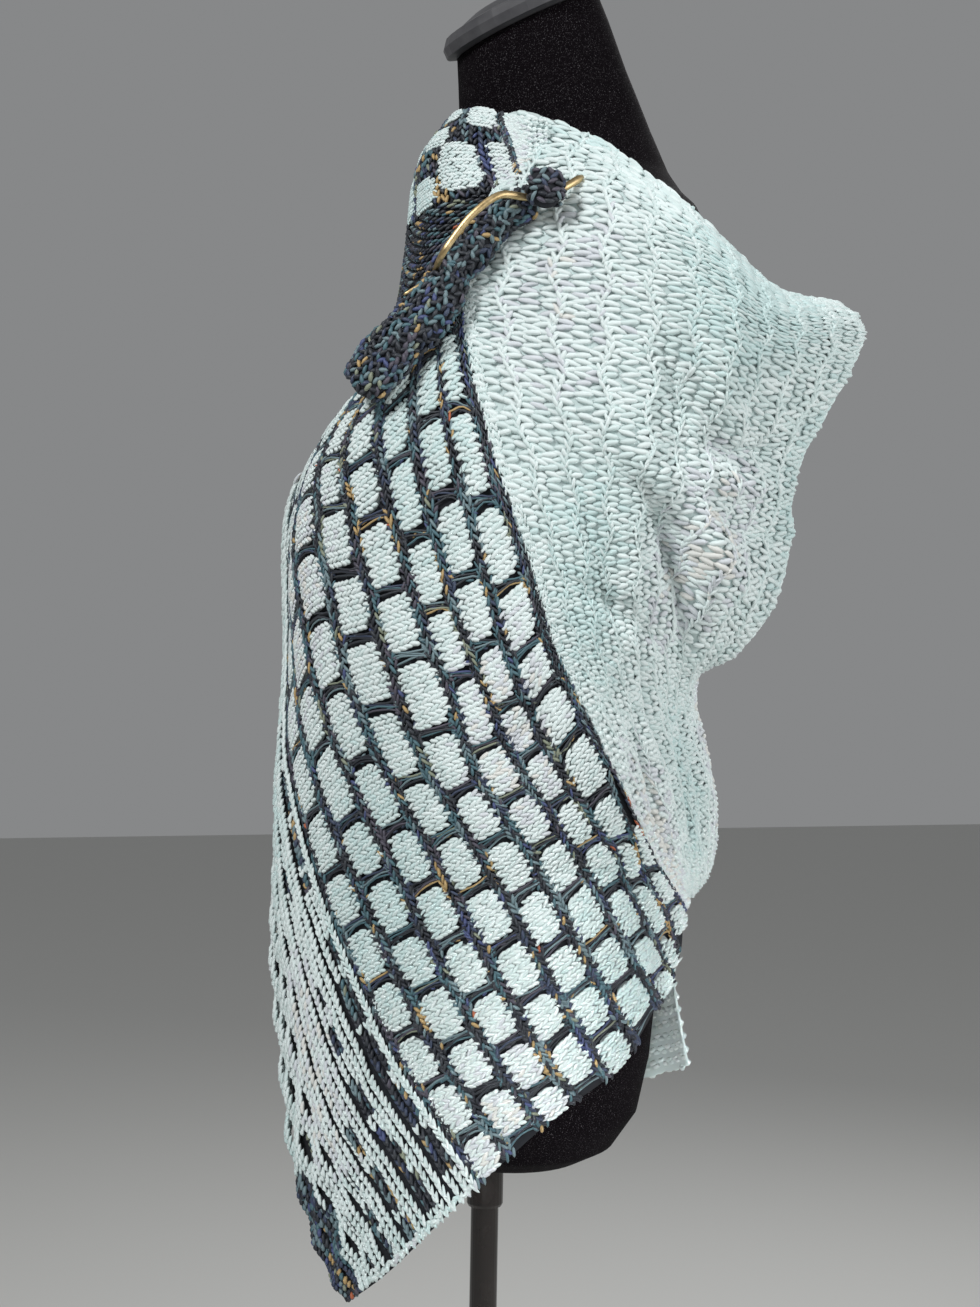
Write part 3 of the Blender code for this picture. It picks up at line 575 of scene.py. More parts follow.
# Where the dark border turns over at the hanging corner: bricks, courses
BORDER_TURN = [(0.0, 14.60), (0.3, 14.75), (0.7, 14.60), (1.05, 14.34), (1.45, 14.12), (1.75, 14.08),
               (2.45, 14.50), (2.7, 14.80), (2.95, 16.3)]
# Above the dark blocks listed below they repeat: from where, the middle of one for each course, all in
# bricks, then their middle in courses and half their size in courses and bricks
UPPER_BLOCKS_FROM = 5.7
UPPER_BLOCKS = {9: 0.70, 10: 0.40, 11: 0.05, 12: 0.68, 13: 0.30, 14: 0.90, 15: 0.50}
UPPER_BLOCK_MIDDLE = 0.42
UPPER_BLOCK_HALF = (0.31, 0.44)
# Dark blocks of the hanging end: middle and half width in courses, foot and head in bricks
DARK_BLOCKS = [
    (9.30, 0.13, 4.38, 4.77), (9.42, 0.25, 3.31, 4.06), (9.55, 0.26, 2.32, 3.12),
    (9.57, 0.25, 1.30, 2.10), (9.54, 0.25, 0.47, 1.12), (10.36, 0.10, 4.01, 4.27),
    (10.45, 0.17, 3.18, 3.60), (10.59, 0.20, 2.00, 2.66), (10.69, 0.27, 0.92, 1.64),
    (10.52, 0.24, 0.25, 0.72), (11.52, 0.15, 1.68, 2.20), (11.65, 0.28, 0.68, 1.32),
    (11.55, 0.26, 0.15, 0.42), (12.36, 0.10, 1.26, 1.88), (12.72, 0.18, 0.71, 1.03),
    (12.77, 0.19, 0.21, 0.56), (13.49, 0.10, 1.08, 1.30), (13.62, 0.16, 0.23, 0.51),
    (14.42, 0.17, 0.32, 0.64), (13.68, 0.40, 2.56, 2.92), (12.15, 0.28, 4.26, 4.68),
    (12.12, 0.28, 3.90, 4.18), (11.87, 0.32, 5.29, 5.64), (12.79, 0.42, 5.01, 5.29),
]

# The collar: how many tenths of the wrap's depth a brick takes, where its bricks and its border end, in
# bricks, and how far its courses lie aslant
COLLAR_BRICK_FALLS = 3.45
COLLAR_HIGH = 10 * COLLAR_SPLIT / COLLAR_BRICK_FALLS
COLLAR_HEM = 10 / COLLAR_BRICK_FALLS
COLLAR_SKEW = 0.5
# Its bricks: middle and half width in courses, foot and head in bricks
COLLAR_BRICKS = [
    (-0.08, 0.24, 0.66, 1.80), (0.25, 0.41, -0.05, 0.38), (0.87, 0.45, 0.72, 1.58),
    (1.56, 0.42, 0.36, 0.76), (1.94, 0.44, 1.20, 1.72), (1.30, 0.34, -0.05, 0.22),
    (2.55, 0.38, 0.16, 0.80), (3.00, 0.38, 0.98, 1.66), (3.45, 0.38, 0.02, 0.74),
    (3.90, 0.38, 0.88, 1.60), (4.35, 0.37, 0.06, 0.72), (4.80, 0.37, 0.86, 1.62),
    (5.25, 0.37, 0.04, 0.72), (5.70, 0.37, 0.86, 1.66),
]
# How the rows of the collar's border tilt, and where the collar meets the pale section: bricks, courses
COLLAR_TILT = 0.33
COLLAR_MEETS = [(0.08, 0.11), (0.65, -0.26), (1.75, -0.66)]

# Yarn colours, linear: name, colour
PALE_YARNS = [
    ("pale_aqua", (0.590, 0.740, 0.735)),
    ("pale_mint", (0.655, 0.770, 0.762)),
    ("pale_ice", (0.740, 0.830, 0.825)),
    ("pale_lilac", (0.660, 0.700, 0.735)),
    ("pale_shell", (0.730, 0.740, 0.710)),
]
DARK_YARNS = [
    ("dark_charcoal", (0.034, 0.040, 0.050)),
    ("dark_ink", (0.020, 0.024, 0.034)),
    ("dark_navy", (0.045, 0.062, 0.110)),
    ("dark_teal", (0.075, 0.155, 0.185)),
    ("dark_plum", (0.080, 0.074, 0.100)),
    ("dark_slate", (0.165, 0.240, 0.265)),
    ("dark_indigo", (0.065, 0.085, 0.200)),
    ("dark_sage", (0.240, 0.270, 0.200)),
    ("dark_gold", (0.470, 0.330, 0.150)),
    ("dark_rust", (0.460, 0.130, 0.060)),
]
# How much of the dark yarn each colour makes up, and the colours of the knob
DARK_SHARES = [0.21, 0.20, 0.12, 0.16, 0.06, 0.14, 0.035, 0.028, 0.043, 0.004]
KNOB_SHADES = [0, 1, 2, 4, 5]
# Where the drift of the pale yarn passes from one colour to the next
PALE_STEPS = [-1.6, -0.1, 1.7, 2.4]
# How far one colour of the dark yarn runs, in bricks, and the share of stitches that stray from it
COLOUR_RUN = 0.42
STRAY_SHARE = 0.42
# A skein of the dark yarn: one value for each run of each line of knitting
SKEIN_LINES = 64
SKEIN_CELLS = 256
SKEIN = chance.uniform(0, 1, (SKEIN_LINES, SKEIN_CELLS))


def view_to_world(points):
    """Turn (side, near, up) rows into world coordinates."""
    points = np.asarray(points, dtype=float)
    return (points[..., 0:1] * VIEW_RIGHT
            + points[..., 1:2] * VIEW_NEAR
            + points[..., 2:3] * VIEW_UP)


def smooth(keys, values, at):
    """Smooth curve through values given at rising keys, straight past its ends."""
    keys = np.asarray(keys, dtype=float)
    values = np.asarray(values, dtype=float)
    at = np.asarray(at, dtype=float)
    step = np.diff(keys)
    rise = np.diff(values, axis=0) / step.reshape((-1,) + (1,) * (values.ndim - 1))
    slope = np.empty_like(values)
    slope[0] = rise[0]
    slope[-1] = rise[-1]
    for i in range(1, len(keys) - 1):
        slope[i] = (rise[i - 1] * step[i] + rise[i] * step[i - 1]) / (step[i - 1] + step[i])
    inside = np.clip(at, keys[0], keys[-1])
    cell = np.clip(np.searchsorted(keys, inside, side="right") - 1, 0, len(keys) - 2)
    shape = (-1,) + (1,) * (values.ndim - 1)
    t = ((inside - keys[cell]) / step[cell]).reshape(shape)
    width = step[cell].reshape(shape)
    curve = ((2 * t ** 3 - 3 * t ** 2 + 1) * values[cell]
             + (t ** 3 - 2 * t ** 2 + t) * width * slope[cell]
             + (3 * t ** 2 - 2 * t ** 3) * values[cell + 1]
             + (t ** 3 - t ** 2) * width * slope[cell + 1])
    below = np.minimum(at - keys[0], 0).reshape(shape)
    above = np.maximum(at - keys[-1], 0).reshape(shape)
    return curve + below * slope[0] + above * slope[-1]


def form_section(up):
    """Half width, middle and half depth of the form at each height."""
    rings = np.array(FORM_RINGS)
    front = np.interp(up, rings[:, 0], rings[:, 2])
    back = np.interp(up, rings[:, 0], rings[:, 3])
    half_width = np.interp(up, rings[:, 0], rings[:, 1])
    return half_width, (back - front) / 2, (back + front) / 2


def reach_of(points):
    """How far out each point lies, 1 being the clearance round the form."""
    up = np.clip(points[..., 2], FORM_RINGS[5][0], FORM_RINGS[-4][0])
    half_width, middle, half_depth = form_section(up)
    off = CLEAR + WALL
    away_y = points[..., 1] - middle
    reach = np.hypot(points[..., 0] / (half_width + off), away_y / (half_depth + off))
    return reach, middle


def clear_of_form(points):
    """Move points that are too near the form out of it. Those that face the
    viewer move along their line of sight, so that the outline stays as laid out."""
    eye = EYE_SIDE * VIEW_RIGHT + EYE_NEAR * VIEW_NEAR + EYE_UP * VIEW_UP
    sight = eye - points
    sight /= np.linalg.norm(sight, axis=-1, keepdims=True)
    reach, middle = reach_of(points)
    low = np.zeros(reach.shape)
    high = np.where(reach < 1, 0.30, 0.0)
    for _ in range(16):
        half = (low + high) / 2
        clear = reach_of(points + sight * half[..., None])[0] >= 1
        low = np.where(clear, low, half)
        high = np.where(clear, half, high)
    seen = points + sight * high[..., None]
    out = points - np.stack([0 * middle, middle, points[..., 2]], axis=-1)
    facing = out @ VIEW_NEAR / np.maximum(np.linalg.norm(out, axis=-1), 1e-9)
    share = np.clip((facing - 0.05) / 0.30, 0, 1)[..., None]
    moved = points + (seen - points) * share
    reach, middle = reach_of(moved)
    grow = np.maximum(1.0, 1.0 / np.maximum(reach, 0.2))
    moved[..., 0] = moved[..., 0] * grow
    moved[..., 1] = middle + (moved[..., 1] - middle) * grow
    return moved


def crease_depth(courses, bricks, creases):
    """How far the creases push the front cloth inwards."""
    depth = np.zeros(np.broadcast(courses, bricks).shape)
    for middle_c, middle_b, half_width, half_length, turn, deep in creases:
        turn = math.radians(turn)
        across = courses - middle_c
        along = (bricks - middle_b) * BRICK_LENGTH / COURSE_WIDTH
        over = across * math.cos(turn) + along * math.sin(turn)
        down = along * math.cos(turn) - across * math.sin(turn)
        spread = (over / half_width) ** 2 + (down / half_length) ** 2
        depth += deep * np.exp(-1.2 * spread)
    return depth


def unit(vectors):
    return vectors / np.maximum(np.linalg.norm(vectors, axis=-1, keepdims=True), 1e-9)


class Sheet:
    """A draped surface worked out once on a grid and read between its points."""

    def __init__(self, grid_points, first, last, low, high, step_u, step_v):
        self.first, self.low = first, low
        self.step_u, self.step_v = step_u, step_v
        u = np.arange(first, last + step_u / 2, step_u)
        v = np.arange(low, high + step_v / 2, step_v)
        self.points = grid_points(u, v)
        run = np.gradient(self.points, step_u, axis=0)
        fall = np.gradient(self.points, step_v, axis=1)
        normals = unit(np.cross(fall, run))
        outward = self.points - FORM_AXIS
        outward[..., 2] = 0
        self.turned = np.sum(normals * outward) < 0
        self.normals = -normals if self.turned else normals
        self.spans = np.stack([np.linalg.norm(run, axis=-1), np.linalg.norm(fall, axis=-1)], axis=-1)
        self.spans = np.maximum(self.spans, LEAST_SPAN)

    def read(self, grid, u, v):
        rows, columns = grid.shape[:2]
        i = np.clip((u - self.first) / self.step_u, 0, rows - 1.001)
        j = np.clip((v - self.low) / self.step_v, 0, columns - 1.001)
        i0 = i.astype(int)
        j0 = j.astype(int)
        a = (i - i0)[..., None]
        b = (j - j0)[..., None]
        return ((1 - a) * (1 - b) * grid[i0, j0] + a * (1 - b) * grid[i0 + 1, j0]
                + (1 - a) * b * grid[i0, j0 + 1] + a * b * grid[i0 + 1, j0 + 1])

    def at(self, u, v):
        """Points and outward directions of the surface."""
        return self.read(self.points, u, v), unit(self.read(self.normals, u, v))

    def size_at(self, u, v):
        """Metres across one course and along one brick."""
        return self.read(self.spans, u, v)


def front_grid(courses, bricks):
    """The front cloth on a whole grid, creased and clear of the form."""
    keys = [key for key, _ in FRONT_GUIDES]
    lines = []
    for _, table in FRONT_GUIDES:
        table = np.array(table)
        lines.append(smooth(table[:, 0], table[:, 1:], bricks))
    lines = np.array(lines)
    plain = np.stack([smooth(keys, lines[:, j], courses) for j in range(len(bricks))], axis=1)
    plain = view_to_world(plain)
    run = np.gradient(plain, axis=0)
    fall = np.gradient(plain, axis=1)
    outward = unit(np.cross(fall, run))
    depth = crease_depth(courses[:, None], bricks[None, :], CREASES + SOFT_FOLDS)
    return clear_of_form(plain - outward * depth[..., None])


def wrap_grid(places, falls):
    """The cloth round the back and neck on a whole grid."""
    lines = []
    for guide in WRAP_GUIDES:
        guide = np.array(guide)
        length = np.concatenate([[0], np.cumsum(np.linalg.norm(np.diff(guide, axis=0), axis=1))])
        lines.append(smooth(length / length[-1], guide, falls / 10))
    lines = np.array(lines)
    keys = np.arange(len(WRAP_GUIDES))
    points = np.stack([smooth(keys, lines[:, j], places) for j in range(len(falls))], axis=1)
    return clear_of_form(points)


def knit_grid(courses, bricks):
    """The front cloth by its courses as they lie, with their lines shifted."""
    even = np.arange(17)
    shifts = np.zeros((len(even), len(bricks)))
    for line, rows in LINE_SHIFTS.items():
        rows = np.array(rows)
        shifts[line] = np.interp(bricks, rows[:, 0], rows[:, 1])
    u = np.stack([courses + np.interp(courses, even, shifts[:, j]) * (courses > -0.5)
                  for j in range(len(bricks))], axis=1)
    return front.at(u, bricks[None, :] + 0 * u)[0]


def collar_knit_grid(courses, bricks):
    """The collar by its courses as they lie, aslant over the cloth."""
    u = courses[:, None] - COLLAR_SKEW * (bricks[None, :] - 0.9)
    return collar.at(u, bricks[None, :] + 0 * u)[0]


def plain_material(name, colour, roughness, sheen=0.0, metallic=0.0):
    material = bpy.data.materials.new(name)
    material.use_nodes = True
    shader = material.node_tree.nodes["Principled BSDF"]
    shader.inputs["Base Color"].default_value = (*colour, 1.0)
    shader.inputs["Roughness"].default_value = roughness
    shader.inputs["Metallic"].default_value = metallic
    shader.inputs["Sheen Weight"].default_value = sheen
    shader.inputs["Sheen Roughness"].default_value = 0.45
    return material


def grained_material(name, low, high, stops, grain, roughness, metallic=0.0, relief=0.0):
    """A finish whose colour, roughness and surface vary with a fine grain.
    stops are where the two colours lie in the grain; roughness is its range."""
    material = plain_material(name, low, roughness[0], 0.0, metallic)
    nodes, links = material.node_tree.nodes, material.node_tree.links
    shader = nodes["Principled BSDF"]
    place = nodes.new("ShaderNodeTexCoord")
    noise = nodes.new("ShaderNodeTexNoise")
    noise.inputs["Scale"].default_value = grain
    noise.inputs["Detail"].default_value = 3.0
    colours = nodes.new("ShaderNodeValToRGB")
    for element, stop, colour in zip(colours.color_ramp.elements, stops, (low, high)):
        element.position = stop
        element.color = (*colour, 1.0)
    rough = nodes.new("ShaderNodeMapRange")
    rough.inputs["To Min"].default_value = roughness[0]
    rough.inputs["To Max"].default_value = roughness[1]
    links.new(place.outputs["Object"], noise.inputs["Vector"])
    links.new(noise.outputs["Fac"], colours.inputs["Fac"])
    links.new(colours.outputs["Color"], shader.inputs["Base Color"])
    links.new(noise.outputs["Fac"], rough.inputs["Value"])
    links.new(rough.outputs["Result"], shader.inputs["Roughness"])
    if relief > 0:
        bump = nodes.new("ShaderNodeBump")
        bump.inputs["Strength"].default_value = 0.4
        bump.inputs["Distance"].default_value = relief
        links.new(noise.outputs["Fac"], bump.inputs["Height"])
        links.new(bump.outputs["Normal"], shader.inputs["Normal"])
    return material


def link_mesh(name, vertices, corners, counts, shades, materials):
    """A mesh from flat arrays of corners and corner counts, one shade a face."""
    mesh = bpy.data.meshes.new(name)
    mesh.vertices.add(len(vertices))
    mesh.vertices.foreach_set("co", np.ascontiguousarray(vertices, dtype=np.float32).ravel())
    mesh.loops.add(len(corners))
    mesh.loops.foreach_set("vertex_index", corners.astype(np.int32))
    mesh.polygons.add(len(counts))
    starts = np.concatenate([[0], np.cumsum(counts)[:-1]])
    mesh.polygons.foreach_set("loop_start", starts.astype(np.int32))
    mesh.polygons.foreach_set("material_index", shades.astype(np.int32))
    mesh.update(calc_edges=True)
    for material in materials:
        mesh.materials.append(material)
    mesh.shade_smooth()
    thing = bpy.data.objects.new(name, mesh)
    bpy.context.scene.collection.objects.link(thing)
    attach(thing, "root")
    return thing


class Yarn:
    """Strands of yarn gathered into one mesh. Each strand is a closed tube."""

    SIDES = 4

    def __init__(self):
        self.vertices = []
        self.corners = []
        self.counts = []
        self.shades = []
        self.total = 0

    def add(self, centres, normals, half_width, half_height, shade):
        """Strands (n, k) of centres and normals; the first and last stations are tips."""
        n, k = centres.shape[:2]
        if n == 0:
            return
        sides = self.SIDES
        along = unit(np.gradient(centres, axis=1))
        side = unit(np.cross(normals, along))
        up = np.cross(along, side)
        angle = 2 * np.pi * np.arange(sides) / sides
        width = np.broadcast_to(half_width, (n, k))[:, 1:-1, None, None]
        height = np.broadcast_to(half_height, (n, k))[:, 1:-1, None, None]
        rings = (centres[:, 1:-1, None, :]
                 + side[:, 1:-1, None, :] * np.cos(angle)[None, None, :, None] * width
                 + up[:, 1:-1, None, :] * np.sin(angle)[None, None, :, None] * height)
        block = np.concatenate([centres[:, :1], rings.reshape(n, -1, 3), centres[:, -1:]], axis=1)
        per = block.shape[1]
        ring = np.arange(sides)
        after = (ring + 1) % sides
        last = 1 + (k - 3) * sides
        tips = np.concatenate([
            np.stack([0 * ring, 1 + after, 1 + ring], axis=1),
            np.stack([0 * ring + per - 1, last + ring, last + after], axis=1)])
        quads = []
        for i in range(k - 3):
            a = 1 + i * sides
            b = a + sides
            quads.append(np.stack([a + ring, a + after, b + after, b + ring], axis=1))
        quads = np.concatenate(quads)
        base = self.total + per * np.arange(n)
        corners = np.concatenate([(base[:, None, None] + tips).reshape(n, -1),
                                  (base[:, None, None] + quads).reshape(n, -1)], axis=1)
        counts = np.concatenate([np.full(len(tips), 3), np.full(len(quads), 4)])
        self.vertices.append(block.reshape(-1, 3))
        self.corners.append(corners.ravel())
        self.counts.append(np.tile(counts, n))
        self.shades.append(np.repeat(np.broadcast_to(shade, (n,)), len(counts)))
        self.total += n * per

    def build(self, name, materials, slot):
        return link_mesh(name, np.concatenate(self.vertices), np.concatenate(self.corners),
                         np.concatenate(self.counts), np.concatenate(self.shades), materials)


def shell_faces(rows, columns, turned):
    """Quads of a closed shell: a grid of points, the same grid under it, and the rim between them."""
    index = np.arange(rows * columns).reshape(rows, columns)
    a, b, c, d = index[:-1, :-1], index[1:, :-1], index[1:, 1:], index[:-1, 1:]
    loop = np.concatenate([index[:, 0], index[-1, 1:], index[-2::-1, -1], index[0, -2:0:-1]])
    after = np.roll(loop, -1)
    faces = np.concatenate([
        np.stack([a, d, c, b], axis=-1).reshape(-1, 4),
        np.stack([a, b, c, d], axis=-1).reshape(-1, 4) + index.size,
        np.stack([after, after + index.size, loop + index.size, loop], axis=-1)])
    return faces if turned else faces[:, ::-1]


def flat_lift(u, v):
    return 0 * u


def ground(name, sheet, u_range, low, high, material, across, along, lift=flat_lift):
    """A thin closed shell of cloth under the stitches. across and along are its counts
    of points, and lift is a function of (u, v)."""
    u = np.linspace(*u_range, across)
    share = np.linspace(0, 1, along)
    v = low(u)[:, None] + (high(u) - low(u))[:, None] * share[None, :]
    u = u[:, None] + 0 * v
    points, normals = sheet.at(u, v)
    top = points + normals * (lift(u, v) - GROUND_DEPTH)[..., None]
    under = points - normals * (GROUND_DEPTH + GROUND_THICKNESS)
    faces = shell_faces(across, along, sheet.turned)
    return link_mesh(name, np.concatenate([top.reshape(-1, 3), under.reshape(-1, 3)]), faces.ravel(),
                     np.full(len(faces), 4), np.zeros(len(faces), dtype=int), [material])


def edge_line(table, further=0.0):
    """An edge of the cloth by its table of courses and bricks, as a function of the course."""
    table = np.array(table)
    return lambda courses: np.interp(courses, table[:, 0], table[:, 1]) + further


def level(height):
    """An edge that lies at one height all the way."""
    return lambda courses: 0 * courses + height


def ease(x):
    """From 0 to 1 without a corner."""
    x = np.clip(x, 0, 1)
    return x * x * (3 - 2 * x)


def pillow(x, y):
    """Height of a brick over its own square, 1 in the middle and 0 at its rim."""
    return np.sqrt(np.clip(1 - np.abs(x) ** 3, 0, 1)) * np.sqrt(np.clip(1 - np.abs(y) ** 4, 0, 1))


def pale_swell(u, v):
    """How far the pale cloth puffs out over each of its bricks."""
    across = 2 * (u % 1.0) - 1
    along = 2 * ((v + BRICK_START + 0.5 * (np.floor(u) % 2)) % 1.0) - 1
    return PALE_PUFF * pillow(across, along)


def welt_wander(u, v):
    """How far the pale courses sway as they pass each other's bricks."""
    return 0.11 * np.sin(2 * np.pi * (v + BRICK_START)) * np.cos(np.pi * u)


def spread(count, middle, uneven):
    """Slightly uneven values for the stitches of hand knitting."""
    return middle * (1 + uneven * chance.uniform(-1, 1, count))


def stitch_sizes(count, stitch):
    """Half length across and along, half width and half height for stitches of one kind."""
    return [spread(count, size, uneven) for size, uneven in stitch]


def bump_sizes(count, bump):
    """The same for bumps, which lie across the cloth with a chance slant."""
    length, slant, width, height = bump
    return [spread(count, length, 0.12), chance.uniform(-slant, slant, count),
            spread(count, width, 0.12), spread(count, height, 0.12)]


def by_turns(count):
    """1 and -1 in turn."""
    return np.where(np.arange(count) % 2 == 0, 1.0, -1.0)


def pale_shade(u, v):
    """Pale yarn that drifts between mint, ice, aqua, lilac and shell, ice oftener up the front."""
    drift = (np.sin(0.9 * u + 0.7 * v + 1.0) + np.sin(0.5 * u - 0.6 * v + 4.0)
             + 1.2 * chance.uniform(-1, 1, len(u)))
    drift = drift - 0.5 * np.clip((v - 9.0) / 4.0, -1, 1) * (u < 0)
    return np.searchsorted(PALE_STEPS, drift).astype(int)


def dark_shade(line, place):
    """Variegated dark yarn: each line of knitting changes colour every half brick."""
    cell = np.floor(place / COLOUR_RUN + 40 + 7 * np.sin(line)).astype(int)
    value = SKEIN[np.mod(np.floor(line * 2).astype(int), SKEIN_LINES), np.mod(cell, SKEIN_CELLS)]
    stray = chance.uniform(0, 1, len(value))
    value = np.where(chance.uniform(0, 1, len(value)) < STRAY_SHARE, stray, value)
    return np.searchsorted(np.cumsum(DARK_SHARES)[:-1], value).astype(int)


def knob_shade(line, place):
    """Charcoal, ink, navy, plum and slate only."""
    return chance.choice(KNOB_SHADES, len(place))


def legs(yarn, sheet, u, v, across, along, width, height, lift, arch, shade, bow=0.0, stub=False, dip=0.0):
    """Short strands centred at (u, v). across and along are half lengths in metres,
    arch raises a strand's middle, bow moves it along the cloth and dip lowers its far end."""
    across, along, width, height, lift = (
        np.broadcast_to(value, u.shape)[:, None] for value in (across, along, width, height, lift))
    spans = sheet.size_at(u, v)
    t = (STUB_STATIONS if stub else LEG_STATIONS)[None, :]
    profile = STUB_PROFILE if stub else LEG_PROFILE
    curve = 1 - t ** 2
    path_u = u[:, None] + t * (across / spans[:, :1])
    path_v = v[:, None] + (t * along + curve * bow) / spans[:, 1:2]
    points, normals = sheet.at(path_u, path_v)
    points = points + normals * (lift + arch * curve - dip * t)[..., None]
    yarn.add(points, normals, width * profile, height * profile, shade)


def bump_rows(sheet, u_range, low, high, length, pitch, samples, stray, shuffle=0.0, tilt=0.0):
    """Rows of bumps that lie across the cloth, one above the other: row, u and v of each.
    stray (bricks) and shuffle (metres) are how far a bump may lie from its even place."""
    u_line = np.linspace(*u_range, samples)
    middle = (u_range[0] + u_range[1]) / 2
    v = float(np.min(low(u_line))) - 1.5 * tilt
    top = float(np.max(high(u_line))) + 1.5 * tilt
    row = 0
    while v < top:
        spans = sheet.size_at(u_line, np.full(samples, v))
        width = np.concatenate([[0], np.cumsum(spans[:-1, 0] * np.diff(u_line))])
        count = max(2, int(width[-1] / length))
        place = (np.arange(count) + 0.5 + 0.25 * (row % 2 * 2 - 1)) / count * width[-1]
        if shuffle:
            place += chance.uniform(-shuffle, shuffle, count)
        u = np.interp(np.clip(place, 0.001, width[-1] - 0.001), width, u_line)
        rows_v = v - tilt * (np.clip(u, 0, 3) - 1.5) + chance.uniform(-stray, stray, count)
        keep = (rows_v > low(u) + 0.02) & (rows_v < high(u) - 0.01)
        yield row, u[keep], rows_v[keep]
        v += pitch / sheet.size_at(middle, v)[1]
        row += 1


def purl_field(yarn, sheet, u_range, low, high, sink=0.0):
    """Rows of arched purl bumps in pale yarn."""
    for row, u, v in bump_rows(sheet, u_range, low, high, PURL_LENGTH, PURL_PITCH,
                               samples=200, stray=0.008, shuffle=0.0006):
        legs(yarn, sheet, u, v, *bump_sizes(len(u), PURL_BUMP), -0.0004 - sink, 0.0008, pale_shade(u, v),
             bow=0.0010 * (row % 2 * 2 - 1), stub=True)


def garter_field(yarn, sheet, u_range, low, high, tilt):
    """Tweedy ridges of short bumps in dark yarn."""
    for row, u, v in bump_rows(sheet, u_range, low, high, GARTER_LENGTH, GARTER_PITCH,
                               samples=60, stray=0.006, tilt=tilt):
        legs(yarn, sheet, u, v, *bump_sizes(len(u), GARTER_BUMP), 0.0008 * (row % 2), 0.0010,
             dark_shade(np.full(len(u), row * 0.5), u), bow=0.0010 * (row % 2 * 2 - 1), stub=True)


def tie_places(course):
    """Where strands cross a course of the front, in bricks."""
    if course == 1:
        return SECOND_COURSE_TIES
    places = [k - BRICK_START - 0.5 * (course % 2) for k in range(18)]
    return [b + (0.28 * float(ease((b - 6.0) / 1.5)) if course > 2 else 0.0) for b in places]


def brick_bodies():
    """Each brick of the front as (course, foot, head, half width), cut off at the
    cloth's edges. Bricks are slimmer towards the neck."""
    found = []
    for course in range(BRICK_COURSES):
        edge = end_edge(course + 0.5) + 0.015
        top = under_roll(course + 0.5)
        ties = tie_places(course)
        ends = [ties[0] - 1.0] + ties + [ties[-1] + 1.0]
        for first, second in zip(ends[:-1], ends[1:]):
            foot = max(first + TIE_HALF, edge)
            head = min(second - TIE_HALF, top)
            if head - foot > LEAST_BRICK:
                wide = BRICK_HALF - NECK_SLIMMER * float(ease((foot - 8.5) / 2.0))
                found.append((course, foot, head, wide))
    return found


def not_folded(sheet, bodies):
    """The bricks whose course isn't folded away."""
    return [(course, foot, head, wide) for course, foot, head, wide in bodies
            if sheet.size_at(course + 0.5, (foot + head) / 2)[0] >= LEAST_COURSE]


def squareness(foot):
    """How square a brick is: bricks are rounder towards the end edge."""
    return 2.5 + 1.2 * float(ease((foot - 5.0) / 3.0))


def build_pads(name, sheet, bodies):
    """A soft pad under each brick's stitches, in a darker pale that paints the shade between them."""
    x, y = np.meshgrid(np.linspace(-1, 1, 6), np.linspace(-1, 1, 7), indexing="ij")
    pad = shell_faces(*x.shape, sheet.turned)
    vertices = []
    faces = []
    for course, foot, head, wide in bodies:
        round_off = 1.0 / squareness(foot)
        u = course + 0.5 + wide * x * (1 - round_off * np.abs(y) ** 3.5)
        v = (foot + head) / 2 + (head - foot) / 2 * y * (1 - 0.5 * round_off * np.abs(x) ** 4)
        points, normals = sheet.at(u, v)
        top = points + normals * (BRICK_PUFF * pillow(0.98 * x, 0.98 * y) - PAD_SINK)[..., None]
        under = points - normals * PAD_DEPTH
        faces.append(pad + 2 * x.size * len(vertices))
        vertices.append(np.concatenate([top.reshape(-1, 3), under.reshape(-1, 3)]))
    faces = np.concatenate(faces)
    return link_mesh(name, np.concatenate(vertices), faces.ravel(), np.full(len(faces), 4),
                     np.zeros(len(faces), dtype=int), [pad_painted_shade])


def brick_stitches(yarn, sheet, bodies):
    """Stockinette lying sideways: rows of short slanting strokes over each brick."""
    for course, foot, head, wide in bodies:
        middle = (foot + head) / 2
        half = (head - foot) / 2
        course_width, brick_length = sheet.size_at(course + 0.5, middle)
        square = squareness(foot)
        pitch = BRICK_ROW_PITCH * (1 + 0.20 * float(ease((foot - 5.0) / 3.0)))
        rows = max(3, round(2 * half * brick_length / pitch))
        across = max(2, round(2 * wide * course_width / BRICK_STROKE_PITCH))
        j, i = np.meshgrid(np.arange(rows), np.arange(-1, across + 1), indexing="ij")
        j = j.ravel()
        i = i.ravel()
        y = (j + 0.5 - rows / 2) / (rows / 2)
        x = (i + 0.5 - across / 2 + 0.5 * (j % 2) - 0.25) / (across / 2)
        x = x + chance.uniform(-0.06, 0.06, len(x))
        keep = np.abs(0.92 * x) ** square + np.abs(0.95 * y) ** (square + 0.6) < 1
        x, y, j = x[keep], y[keep], j[keep]
        turn = np.where(j % 2 == 0, 1.0, -1.0)
        half_row = half * brick_length / rows
        stroke = 2 * wide * course_width / across * 0.80
        reach, slant, width, height = stitch_sizes(len(x), BRICK_STITCH)
        lift = BRICK_PUFF * pillow(np.clip(0.93 * x, -1, 1), np.clip(0.93 * y, -1, 1)) + 0.0003
        u = course + 0.5 + wide * x
        v = middle + half * y
        legs(yarn, sheet, u, v, stroke * reach, turn * half_row * slant, half_row * width, height, lift,
             0.0004, pale_shade(u, v))


